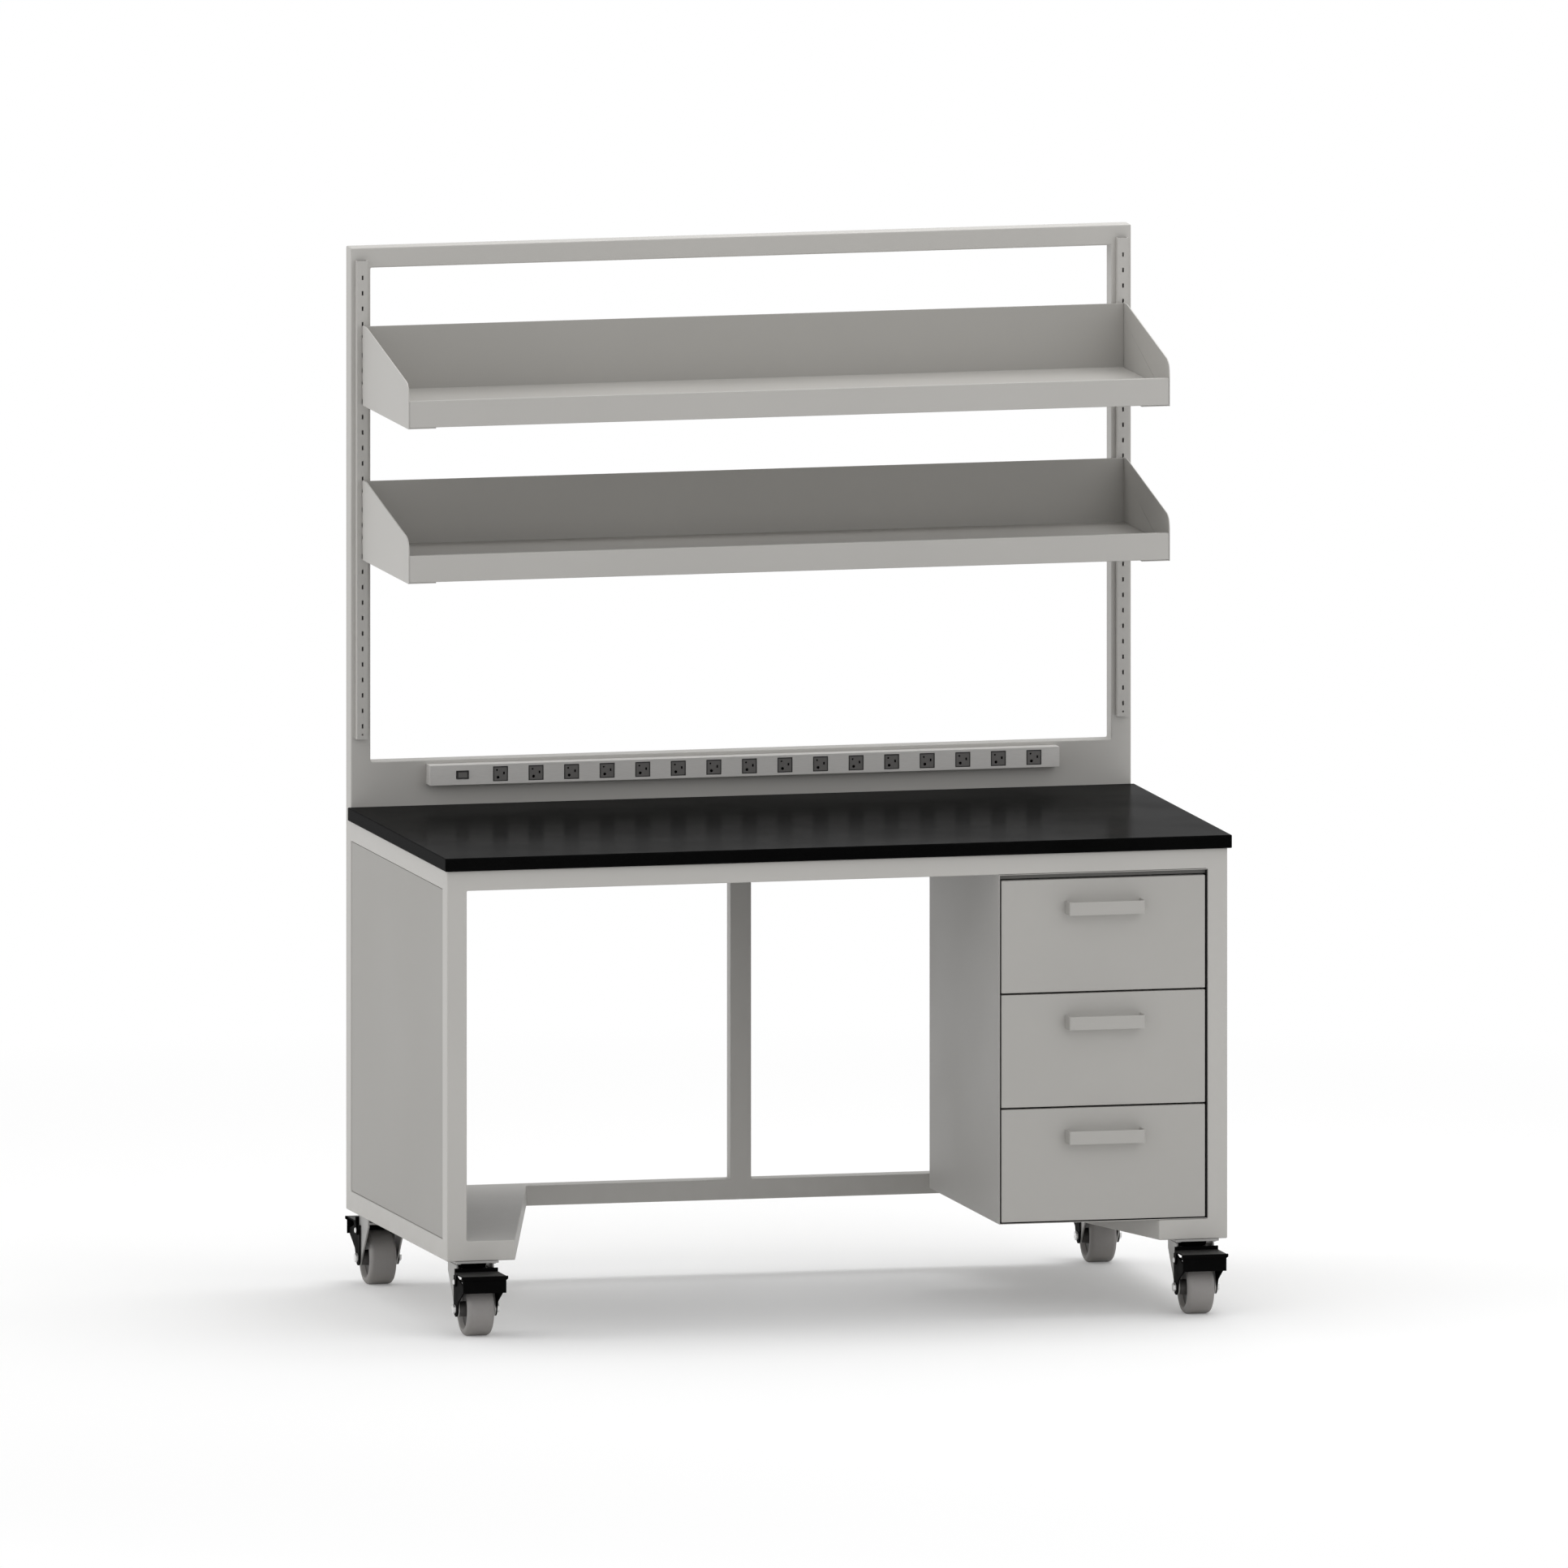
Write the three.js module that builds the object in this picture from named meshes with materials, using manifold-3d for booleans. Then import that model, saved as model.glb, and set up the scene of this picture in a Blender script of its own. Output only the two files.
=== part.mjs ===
// A mobile laboratory bench with a two-tier reagent shelf, in millimetres with +Z up.
// The welded tube frame carries the worktop, a power rail on its rear upstand, two shelves
// hooked into slotted standards, a three-drawer cabinet and four braked swivel casters.
// The front faces -Y, and the floor is z = 0.

import * as THREE from "three";
import { mergeVertices } from "three/addons/utils/BufferGeometryUtils.js";
import Module from "manifold-3d";

const wasm = await Module();
wasm.setup();

// Fits
const JOINT = 0.3; // gap at welds, seats and screwed faces
const PANEL_GAP = 0.8; // reveal round an infill panel
const RUNNING = 0.8; // gap between parts that slide or turn on each other

// Frame
const FRAME_DEPTH = 800;
const TUBE = 38;
const TUBE_WALL = 2;
const TUBE_RADIUS = 3;
const UPSTAND_RISE = 84; // above the worktop
const POST_WIDTH = 40;
const POST_DEPTH = 30;
const SHEET = 1.5;
const GUSSET_FRONT_WIDTH = 130;
const GUSSET_FLARE = 205; // extra width that each base pan gains towards the rear rail
const PANEL_RECESS = 1.5;
const PANEL_RETURN = 14;

// Worktop
const WORKTOP_WIDTH = 1500;
const WORKTOP_HEIGHT = 895;
const WORKTOP_THICKNESS = 25;
const WORKTOP_FRONT_OVERHANG = 12;
const WORKTOP_SIDE_OVERHANG = 6;
const WORKTOP_EDGE = 1.5;

// Slotted standards
const STANDARD_WIDTH = 20.5;
const STANDARD_DEPTH = 15;
const STANDARD_LENGTH = 894;
const STANDARD_RISE = 44; // above the upstand
const STANDARD_HEADROOM = 23; // below the frame's top
const SLOT_WIDTH = 3.3;
const SLOT_HEIGHT = 12.8;
const SLOT_PITCH = 28.9;
const SLOT_MARGIN = 27;
const SLOT_HOLE = 4;

// Shelves
const SHELF_SLOTS = { upper: 22, lower: 12 };
const SHELF_DEPTH = 363;
const SHELF_LIP = 50;
const SHELF_LIP_ABOVE = 23;
const SHELF_LIP_DEPTH = 12;
const SHELF_BACK_HEIGHT = 119;
const BRACKET_PLATE = 2;
const BRACKET_HEIGHT = 149;
const BRACKET_NOSE = 83; // height of the plate's front edge
const BRACKET_NOSE_RADIUS = 24;
const BRACKET_CROWN = 28; // level run at the plate's rear top
const BRACKET_FLANGE = 52;
const BRACKET_SETBACK = 4; // from the standard's front face
const HOOK_RISE = 37.8; // from the bracket's underside to its lower slot
const HOOK_STEP = 3; // slots between a bracket's two hooks
const HOOK_NECK = 7;
const HOOK_DROP = 5;
const HOOK_TIP = 3;

// Power rail
const RAIL_MARGIN = 150; // from each end of the worktop
const RAIL_HEIGHT = 37.5;
const RAIL_DEPTH = 30;
const RAIL_RISE = 39.5; // above the worktop
const SOCKET_COUNT = 16;
const SOCKET_WIDTH = 28.6;
const SOCKET_HEIGHT = 28;
const SOCKET_FIRST = 134.4; // from the rail's left end
const SOCKET_LAST = 48.6; // from the rail's right end
const SOCKET_RECESS = 0.6;
const SOCKET_CARRIER = 9;
const PIN_DEPTH = 7;
const EARTH_PIN = [-4.6, -6.6]; // hole centres from the socket's centre
const EARTH_PIN_RADIUS = 2.9;
const SMALL_PIN = [-6.4, 7];
const SMALL_PIN_RADIUS = 1.8;
const SLOT_PIN = [6.7, 1];
const SLOT_PIN_WIDTH = 3;
const SLOT_PIN_HEIGHT = 4.8;
const ROCKER_WIDTH = 24;
const ROCKER_HEIGHT = 16;
const ROCKER_PLACE = 62; // from the rail's left end
const ROCKER_PROUD = 2.2;
const ROCKER_CLEARANCE = 0.9;
const ROCKER_PIN = 1.2;

// Drawer cabinet
const CABINET_WIDTH = 397;
const CABINET_DEPTH = 551;
const DRAWER_COUNT = 3;
const DRAWER_GAP = 3.5;
const DRAWER_SIDE_GAP = 2.8;
const DRAWER_BOTTOM_GAP = 3.5;
const DRAWER_TOP_GAP = 11.4;
const DRAWER_FRONT_THICKNESS = 18;
const DRAWER_BOX_LIFT = 14; // box underside above the front's lower edge
const DRAWER_BOX_HEADROOM = 46.5; // box rim below the front's upper edge
const DRAWER_WALL = 2;
const RUNNER_PROJECTION = 13;
const RUNNER_HEIGHT = 24;
const RUNNER_END_GAP = 20.7; // to the cabinet's back
const RUNNER_OVERRUN = 20; // runner past the drawer box
const RUNNER_RISE = 46; // runner centre above the front's lower edge
const RUNNER_STRAP = 30;
const HANDLE_WIDTH = 145;
const HANDLE_HEIGHT = 24.5;
const HANDLE_DEPTH = 35;
const HANDLE_STOCK = 2.5;
const HANDLE_RADIUS = 4;
const HANDLE_DROP = 40; // from the drawer front's top edge

// Casters
const CASTER_HEADROOM = 40; // mounting face above the wheel's top
const CASTER_INSET = 57.5; // swivel axis from the frame's outer face
const CASTER_SETBACK = 48.5; // swivel axis from the frame's front or rear face
const CASTER_TRAIL = 35;
const WHEEL_DIAMETER = 100;
const WHEEL_WIDTH = 45;
const WHEEL_ROUND = 9;
const WHEEL_TREAD = 16; // tread depth outside the recess in each side
const WHEEL_DISH = 7;
const HUB_RADIUS = 14;
const AXLE_RADIUS = 6;
const AXLE_HEAD = 8.5;
const AXLE_HEAD_THICKNESS = 5;
const PLATE_WIDTH = 84;
const PLATE_LENGTH = 96;
const PLATE_THICKNESS = 4;
const COLLAR_TOP_RADIUS = 30;
const COLLAR_RADIUS = 26.5;
const COLLAR_HEIGHT = 12;
const KINGPIN_RADIUS = 7;
const KINGPIN_HEAD = 11;
const KINGPIN_HEAD_THICKNESS = 4.5;
const FORK_INSIDE = 65.4;
const FORK_PLATE = 3;
const CROWN_THICKNESS = 4;
const CROWN_REACH = 33; // from the swivel axis towards the trailing side
const CROWN_BACK = 36;
const SHOULDER = 8; // how far the fork legs rise above the crown
const LEG_ROUND = 15;
const CHEEK_PLATE = 2.5;
const CHEEK_BACK = 14.6; // from the axle to the cheek's upright edge
const CHEEK_RISE = 12; // heights from here on are above the wheel's top
const CHEEK_NOSE = 64; // from the axle to the front of the cheek
const CHEEK_NOSE_DROP = 2;
const CHEEK_NOSE_DEPTH = 10;
const YOKE_RISE = 3;
const YOKE_THICKNESS = 2.5;
const PIVOT_RISE = 1;
const PIVOT_AHEAD = 2; // pivot ahead of the axle
const PIVOT_RADIUS = 4;
const PIVOT_HEAD = 5.5;
const PIVOT_HEAD_THICKNESS = 2;
const PEDAL_PLATE = 3;
const PEDAL_RISE = 19;
const PEDAL_NOSE = 73; // front face ahead of the axle
const PEDAL_APRON = 32;
const PEDAL_HEEL = 4; // rear end ahead of the axle
const PEDAL_HEEL_RISE = 7;
const PEDAL_LIP = 2.5;
const EAR_RADIUS = 9;

// Places worked out from the sizes above
const HALF_WIDTH = WORKTOP_WIDTH / 2 - WORKTOP_SIDE_OVERHANG;
const UPSTAND_TOP = WORKTOP_HEIGHT + UPSTAND_RISE;
const STANDARD_BOTTOM = UPSTAND_TOP + STANDARD_RISE;
const STANDARD_TOP = STANDARD_BOTTOM + STANDARD_LENGTH;
const FRAME_TOP = STANDARD_TOP + STANDARD_HEADROOM;
const CASTER_HEIGHT = WHEEL_DIAMETER + CASTER_HEADROOM;
const INNER_WIDTH = HALF_WIDTH - TUBE;
const FRONT = -FRAME_DEPTH / 2;
const REAR = FRAME_DEPTH / 2;
const REAR_FACE = REAR - TUBE;
const UNDERSIDE = WORKTOP_HEIGHT - WORKTOP_THICKNESS;
const APRON_BOTTOM = UNDERSIDE - TUBE;
const BASE_TOP = CASTER_HEIGHT + TUBE;
const TUBE_X = HALF_WIDTH - TUBE / 2;
const FRONT_TUBE_Y = FRONT + TUBE / 2;
const REAR_TUBE_Y = REAR - TUBE / 2;
const STANDARD_FRONT = REAR_FACE - JOINT - STANDARD_DEPTH;
const BRACKET_BACK = STANDARD_FRONT - BRACKET_SETBACK;
const SHELF_FRONT = BRACKET_BACK - SHELF_DEPTH;
const RAIL_FRONT = REAR_FACE - JOINT - RAIL_DEPTH;
const RAIL_BOTTOM = WORKTOP_HEIGHT + RAIL_RISE;
const RAIL_LENGTH = WORKTOP_WIDTH - 2 * RAIL_MARGIN;
const SOCKET_PITCH = (RAIL_LENGTH - SOCKET_FIRST - SOCKET_LAST) / (SOCKET_COUNT - 1);
const CABINET_RIGHT = INNER_WIDTH - JOINT;
const CABINET_LEFT = CABINET_RIGHT - CABINET_WIDTH;
const CABINET_X = (CABINET_LEFT + CABINET_RIGHT) / 2;
const CABINET_BOTTOM = BASE_TOP + JOINT;
const CABINET_TOP = APRON_BOTTOM - JOINT;
const DRAWER_BASE = CABINET_BOTTOM + DRAWER_BOTTOM_GAP;
const DRAWER_STACK = CABINET_TOP - DRAWER_TOP_GAP - DRAWER_BASE;
const DRAWER_PITCH = (DRAWER_STACK + DRAWER_GAP) / DRAWER_COUNT;
const DRAWER_FRONT_HEIGHT = DRAWER_PITCH - DRAWER_GAP;
const DRAWER_BOX_HEIGHT = DRAWER_FRONT_HEIGHT - DRAWER_BOX_LIFT - DRAWER_BOX_HEADROOM;
const RUNNER_LENGTH = CABINET_DEPTH - DRAWER_FRONT_THICKNESS - RUNNING - SHEET - RUNNER_END_GAP;
const DRAWER_BOX_LENGTH = RUNNER_LENGTH - RUNNER_OVERRUN;
const WHEEL_RADIUS = WHEEL_DIAMETER / 2;
const WHEEL_RIM = WHEEL_RADIUS - WHEEL_TREAD;
const FORK_OUT = FORK_INSIDE / 2 + FORK_PLATE;
const CHEEK_IN = FORK_OUT + JOINT;
const CHEEK_OUT = CHEEK_IN + CHEEK_PLATE;
const EAR_IN = CHEEK_OUT + JOINT;
const EAR_OUT = EAR_IN + CHEEK_PLATE;
const PLATE_BOTTOM = CASTER_HEIGHT - JOINT - PLATE_THICKNESS;
const CROWN_TOP = PLATE_BOTTOM - COLLAR_HEIGHT - JOINT;
const CHEEK_TOP = WHEEL_DIAMETER + CHEEK_RISE;
const CHEEK_NOSE_TOP = WHEEL_DIAMETER - CHEEK_NOSE_DROP;
const CHEEK_NOSE_BOTTOM = CHEEK_NOSE_TOP - CHEEK_NOSE_DEPTH;
const YOKE_BOTTOM = WHEEL_DIAMETER + YOKE_RISE;
const PIVOT_HEIGHT = WHEEL_DIAMETER + PIVOT_RISE;
const PEDAL_TOP = WHEEL_DIAMETER + PEDAL_RISE;

const FINISH = {
  coat: { color: 0xb6b5b0, roughness: 0.55, metalness: 0.0 },
  drawer: { color: 0xa9a8a3, roughness: 0.55, metalness: 0.0 },
  worktop: { color: 0x17181a, roughness: 0.3, metalness: 0.0 },
  rail: { color: 0x8d8883, roughness: 0.5, metalness: 0.2 },
  moulding: { color: 0x4b4a49, roughness: 0.5, metalness: 0.0 },
  zinc: { color: 0xb9bab8, roughness: 0.35, metalness: 0.9 },
  black: { color: 0x0d0d0e, roughness: 0.55, metalness: 0.0 },
  tyre: { color: 0x6f6c6b, roughness: 0.7, metalness: 0.0 },
};

function toSolid(geometry) {
  const bare = geometry.clone();
  bare.deleteAttribute("normal");
  bare.deleteAttribute("uv");
  const welded = mergeVertices(bare, 1e-4);
  return new wasm.Manifold(
    new wasm.Mesh({
      numProp: 3,
      vertProperties: welded.attributes.position.array,
      triVerts: new Uint32Array(welded.index.array),
    }),
  );
}

function toMesh(name, solid, finish) {
  const { vertProperties, triVerts } = solid.getMesh();
  const indexed = new THREE.BufferGeometry();
  indexed.setAttribute("position", new THREE.BufferAttribute(new Float32Array(vertProperties), 3));
  indexed.setIndex(new THREE.BufferAttribute(new Uint32Array(triVerts), 1));
  const geometry = indexed.toNonIndexed();
  geometry.computeVertexNormals();
  const mesh = new THREE.Mesh(geometry, new THREE.MeshStandardMaterial(FINISH[finish]));
  mesh.name = name;
  return mesh;
}

// A box between two corners.
function box(x0, x1, y0, y1, z0, z1) {
  const geometry = new THREE.BoxGeometry(x1 - x0, y1 - y0, z1 - z0);
  geometry.translate((x0 + x1) / 2, (y0 + y1) / 2, (z0 + z1) / 2);
  return toSolid(geometry);
}

function extrude(shape, depth, segments) {
  return new THREE.ExtrudeGeometry(shape, { depth, bevelEnabled: false, curveSegments: segments });
}

// A profile drawn in (y, z), run from x0 to x1.
function prismX(shape, x0, x1, segments = 2) {
  const geometry = extrude(shape, x1 - x0, segments);
  geometry.applyMatrix4(new THREE.Matrix4().set(0, 0, 1, x0, 1, 0, 0, 0, 0, 1, 0, 0, 0, 0, 0, 1));
  return toSolid(geometry);
}

// A profile drawn in (x, z), run from y0 to y1.
function prismY(shape, y0, y1, segments = 2) {
  const geometry = extrude(shape, y1 - y0, segments);
  geometry.applyMatrix4(new THREE.Matrix4().set(1, 0, 0, 0, 0, 0, -1, y1, 0, 1, 0, 0, 0, 0, 0, 1));
  return toSolid(geometry);
}

// A profile drawn in (x, y), run from z0 to z1.
function prismZ(shape, z0, z1, segments = 2) {
  const geometry = extrude(shape, z1 - z0, segments);
  geometry.translate(0, 0, z0);
  return toSolid(geometry);
}

// A cylinder or cone frustum along X, Y or Z, from the first end to the second.
function cylinder(axis, start, end, [a, b], startRadius, endRadius = startRadius, segments = 12) {
  const geometry = new THREE.CylinderGeometry(endRadius, startRadius, end - start, segments);
  const middle = (start + end) / 2;
  if (axis === "x") geometry.rotateZ(-Math.PI / 2).translate(middle, a, b);
  if (axis === "y") geometry.translate(a, middle, b);
  if (axis === "z") geometry.rotateX(Math.PI / 2).translate(a, b, middle);
  return toSolid(geometry);
}

function polygon(points) {
  return new THREE.Shape(points.map(([a, b]) => new THREE.Vector2(a, b)));
}

function roundedRectangle(width, height, radius, a, b) {
  const shape = new THREE.Shape();
  const [right, top] = [width / 2 - radius, height / 2 - radius];
  shape.absarc(a + right, b + top, radius, 0, Math.PI / 2);
  shape.absarc(a - right, b + top, radius, Math.PI / 2, Math.PI);
  shape.absarc(a - right, b - top, radius, Math.PI, 1.5 * Math.PI);
  shape.absarc(a + right, b - top, radius, 1.5 * Math.PI, 2 * Math.PI);
  shape.closePath();
  return shape;
}

// The cross-section of a rectangular hollow section.
function hollowSection(width, height, a, b) {
  const shape = roundedRectangle(width, height, TUBE_RADIUS, a, b);
  const [right, top] = [width / 2 - TUBE_WALL, height / 2 - TUBE_WALL];
  shape.holes.push(
    polygon([[a + right, b + top], [a - right, b + top], [a - right, b - top], [a + right, b - top]]),
  );
  return shape;
}

// The cross-section of bent sheet: a path of right-angled bends, thickened to its left.
function sheetSection(path, thickness) {
  const shifted = path.map(([a, b], i) => {
    const before = path[Math.max(i - 1, 0)];
    const after = path[Math.min(i + 1, path.length - 1)];
    const sides = [[before, [a, b]], [[a, b], after]]
      .map(([[a0, b0], [a1, b1]]) => [b0 - b1, a1 - a0])
      .map(([na, nb]) => [Math.sign(na), Math.sign(nb)]);
    const shift = (k) => thickness * Math.sign(sides[0][k] + sides[1][k]);
    return [a + shift(0), b + shift(1)];
  });
  return polygon([...path, ...shifted.reverse()]);
}

// Cuts a tube at the mitre between an upright and the top rail on one side.
function mitre(solid, side, keepsRail) {
  const sign = keepsRail ? 1 : -1;
  const share = Math.SQRT1_2;
  const plane = sign * (FRAME_TOP - HALF_WIDTH) * share;
  return solid.trimByPlane([-side * sign * share, 0, sign * share], plane + JOINT / 2);
}

const object = new THREE.Group();
object.name = "lab_bench_with_reagent_shelf";

function add(name, solid, finish, parent = object) {
  parent.add(toMesh(name, solid, finish));
}

const SIDES = [["left", -1], ["right", 1]];

function buildFrame() {
  const section = hollowSection(TUBE, TUBE, 0, 0);
  for (const [label, side] of SIDES) {
    const x = side * TUBE_X;
    const post = prismZ(section, CASTER_HEIGHT, FRAME_TOP).translate([x, REAR_TUBE_Y, 0]);
    add(`upright_${label}`, mitre(post, side, false), "coat");
    const leg = prismZ(section, CASTER_HEIGHT, UNDERSIDE).translate([x, FRONT_TUBE_Y, 0]);
    add(`front_leg_${label}`, leg, "coat");
    const y = FRONT + TUBE + JOINT;
    const rail = prismY(section, y, REAR_FACE - JOINT);
    add(`side_rail_${label}`, rail.translate([x, 0, UNDERSIDE - TUBE / 2]), "coat");
  }
  const span = INNER_WIDTH - JOINT;
  const top = prismX(section, -HALF_WIDTH, HALF_WIDTH).translate([0, REAR_TUBE_Y, FRAME_TOP - TUBE / 2]);
  add("top_rail", mitre(mitre(top, -1, true), 1, true), "coat");
  const apron = prismX(section, -span, span).translate([0, FRONT_TUBE_Y, UNDERSIDE - TUBE / 2]);
  add("front_apron_rail", apron, "coat");
  const low = prismX(section, -span, span).translate([0, REAR_TUBE_Y, CASTER_HEIGHT + TUBE / 2]);
  add("rear_bottom_rail", low, "coat");
  const height = UPSTAND_TOP - APRON_BOTTOM;
  const upstand = hollowSection(TUBE, height, REAR_TUBE_Y, APRON_BOTTOM + height / 2);
  add("service_upstand", prismX(upstand, -span, span), "coat");
  const post = hollowSection(POST_WIDTH, POST_DEPTH, 0, REAR_FACE + POST_DEPTH / 2);
  add("rear_centre_post", prismZ(post, BASE_TOP + JOINT, APRON_BOTTOM - JOINT), "coat");
}

// A folded base pan that runs from the front leg to the upright, flares towards the rear
// rail and carries two casters. Its rear end is open.
function buildBasePans() {
  const outline = (inset, rear) => {
    const slope = GUSSET_FLARE / (REAR_FACE - FRONT);
    const inner = (y) => -HALF_WIDTH + GUSSET_FRONT_WIDTH + slope * (y - FRONT) - inset;
    const front = FRONT + inset;
    const notch = [FRONT + TUBE + JOINT + inset, -INNER_WIDTH + JOINT + inset];
    return polygon([
      [notch[1], front],
      [inner(front), front],
      [inner(rear), rear],
      [-HALF_WIDTH + inset, rear],
      [-HALF_WIDTH + inset, notch[0]],
      [notch[1], notch[0]],
    ]);
  };
  const rear = REAR_FACE - JOINT;
  const shell = prismZ(outline(0, rear), CASTER_HEIGHT, BASE_TOP);
  const hollow = prismZ(outline(SHEET, rear + SHEET), CASTER_HEIGHT + SHEET, BASE_TOP - SHEET);
  const pan = shell.subtract(hollow);
  add("base_pan_left", pan, "coat");
  add("base_pan_right", pan.mirror([1, 0, 0]), "coat");
}

// A folded infill panel, open towards the knee space.
function buildSidePanels() {
  const face = -HALF_WIDTH + PANEL_RECESS;
  const y0 = FRONT + TUBE + PANEL_GAP;
  const y1 = REAR_FACE - PANEL_GAP;
  const z0 = BASE_TOP + PANEL_GAP;
  const z1 = APRON_BOTTOM - PANEL_GAP;
  const panel = box(face, face + PANEL_RETURN, y0, y1, z0, z1).subtract(
    box(face + SHEET, face + 2 * PANEL_RETURN, y0 + SHEET, y1 - SHEET, z0 + SHEET, z1 - SHEET),
  );
  add("side_panel_left", panel, "coat");
  add("side_panel_right", panel.mirror([1, 0, 0]), "coat");
}

function buildWorktop() {
  const edge = WORKTOP_EDGE;
  const y0 = FRONT - WORKTOP_FRONT_OVERHANG;
  const y1 = REAR_FACE - JOINT;
  const half = WORKTOP_WIDTH / 2 - edge;
  const outline = polygon([[-half, y0 + edge], [half, y0 + edge], [half, y1 - edge], [-half, y1 - edge]]);
  const geometry = new THREE.ExtrudeGeometry(outline, {
    depth: WORKTOP_THICKNESS - JOINT - 2 * edge,
    bevelThickness: edge,
    bevelSize: edge,
    bevelSegments: 2,
  });
  geometry.translate(0, 0, UNDERSIDE + JOINT + edge);
  add("worktop", toSolid(geometry), "worktop");
}

const slotHeight = (index) => STANDARD_BOTTOM + SLOT_MARGIN + index * SLOT_PITCH;

// A channel with its back to the upright and a column of hook slots in its face.
function buildStandards() {
  const half = STANDARD_WIDTH / 2;
  const back = STANDARD_FRONT + STANDARD_DEPTH;
  const inside = STANDARD_FRONT + SHEET;
  const channel = polygon([
    [-half, STANDARD_FRONT],
    [half, STANDARD_FRONT],
    [half, back],
    [half - SHEET, back],
    [half - SHEET, inside],
    [-half + SHEET, inside],
    [-half + SHEET, back],
    [-half, back],
  ]);
  const through = [STANDARD_FRONT - SHEET, inside + SHEET];
  const slots = [];
  for (let i = 0; slotHeight(i) + SLOT_MARGIN < STANDARD_TOP; i++) {
    const z = slotHeight(i);
    slots.push(
      box(-SLOT_WIDTH / 2, SLOT_WIDTH / 2, ...through, z - SLOT_HEIGHT / 2, z + SLOT_HEIGHT / 2),
    );
  }
  const hole = cylinder("y", ...through, [0, STANDARD_BOTTOM + SLOT_MARGIN / 3], SLOT_HOLE / 2, SLOT_HOLE / 2, 10);
  const standard = prismZ(channel, STANDARD_BOTTOM, STANDARD_TOP).subtract(wasm.Manifold.union([...slots, hole]));
  for (const [label, side] of SIDES) {
    add(`slotted_standard_${label}`, standard.translate([side * TUBE_X, 0, 0]), "coat");
  }
}

// One end bracket at x = 0: a sloping side plate with an inward foot and two hooks.
function shelfBracket(bottom, slot, inward) {
  const plate = new THREE.Shape();
  const nose = bottom + BRACKET_NOSE;
  const top = bottom + BRACKET_HEIGHT;
  const crown = BRACKET_BACK - BRACKET_CROWN;
  const slope = (top - nose) / (crown - SHELF_FRONT);
  plate.moveTo(BRACKET_BACK, top);
  plate.lineTo(crown, top);
  plate.lineTo(SHELF_FRONT + BRACKET_NOSE_RADIUS, nose + slope * BRACKET_NOSE_RADIUS);
  plate.quadraticCurveTo(SHELF_FRONT, nose, SHELF_FRONT, nose - BRACKET_NOSE_RADIUS);
  plate.lineTo(SHELF_FRONT, bottom);
  plate.lineTo(BRACKET_BACK, bottom);
  plate.closePath();
  const half = BRACKET_PLATE / 2;
  const foot = [-half, inward * BRACKET_FLANGE].sort((a, b) => a - b);
  const pieces = [
    prismX(plate, -half, half, 6),
    box(...foot, SHELF_FRONT + SHEET, BRACKET_BACK, bottom, bottom + BRACKET_PLATE),
  ];
  for (const index of [slot, slot + HOOK_STEP]) {
    const seat = slotHeight(index) - SLOT_HEIGHT / 2 + JOINT;
    const behind = STANDARD_FRONT + SHEET + JOINT;
    const hook = polygon([
      [BRACKET_BACK - BRACKET_SETBACK, seat],
      [behind, seat],
      [behind, seat - HOOK_DROP],
      [behind + HOOK_TIP, seat - HOOK_DROP],
      [behind + HOOK_TIP, seat + HOOK_NECK],
      [BRACKET_BACK - BRACKET_SETBACK, seat + HOOK_NECK],
    ]);
    pieces.push(prismX(hook, -half, half));
  }
  return wasm.Manifold.union(pieces);
}

function buildShelves() {
  for (const [tier, slot] of Object.entries(SHELF_SLOTS)) {
    const bottom = slotHeight(slot) - HOOK_RISE;
    for (const [label, side] of SIDES) {
      const bracket = shelfBracket(bottom, slot, -side).translate([side * TUBE_X, 0, 0]);
      add(`${tier}_shelf_bracket_${label}`, bracket, "coat");
    }
    const low = bottom + BRACKET_PLATE + JOINT;
    const lip = low + SHELF_LIP;
    const floor = lip - SHELF_LIP_ABOVE;
    const back = BRACKET_BACK - HOOK_DROP;
    const section = sheetSection(
      [
        [back, floor + SHELF_BACK_HEIGHT],
        [back, floor - SHEET],
        [SHELF_FRONT + SHELF_LIP_DEPTH - SHEET, floor - SHEET],
        [SHELF_FRONT + SHELF_LIP_DEPTH - SHEET, lip - SHEET],
        [SHELF_FRONT + SHEET, lip - SHEET],
        [SHELF_FRONT + SHEET, low],
      ],
      -SHEET,
    );
    const half = TUBE_X - BRACKET_PLATE / 2 - JOINT;
    add(`${tier}_shelf_tray`, prismX(section, -half, half), "coat");
  }
}

// One socket at x = 0: its square face block, and the three pin holes to cut from the strip.
function socketFace(z, face, back) {
  const half = SOCKET_WIDTH / 2 - JOINT;
  const tall = SOCKET_HEIGHT / 2 - JOINT;
  const depth = [face - PIN_DEPTH, face + PIN_DEPTH];
  const [earthX, earthZ] = EARTH_PIN;
  const [smallX, smallZ] = SMALL_PIN;
  const [slotX, slotZ] = SLOT_PIN;
  const holes = wasm.Manifold.union([
    box(
      slotX - SLOT_PIN_WIDTH / 2,
      slotX + SLOT_PIN_WIDTH / 2,
      ...depth,
      z + slotZ - SLOT_PIN_HEIGHT / 2,
      z + slotZ + SLOT_PIN_HEIGHT / 2,
    ),
    cylinder("y", ...depth, [smallX, z + smallZ], SMALL_PIN_RADIUS, SMALL_PIN_RADIUS, 6),
    cylinder("y", ...depth, [earthX, z + earthZ], EARTH_PIN_RADIUS, EARTH_PIN_RADIUS, 6),
  ]);
  return { block: box(-half, half, face, back, z - tall, z + tall), holes };
}

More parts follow.
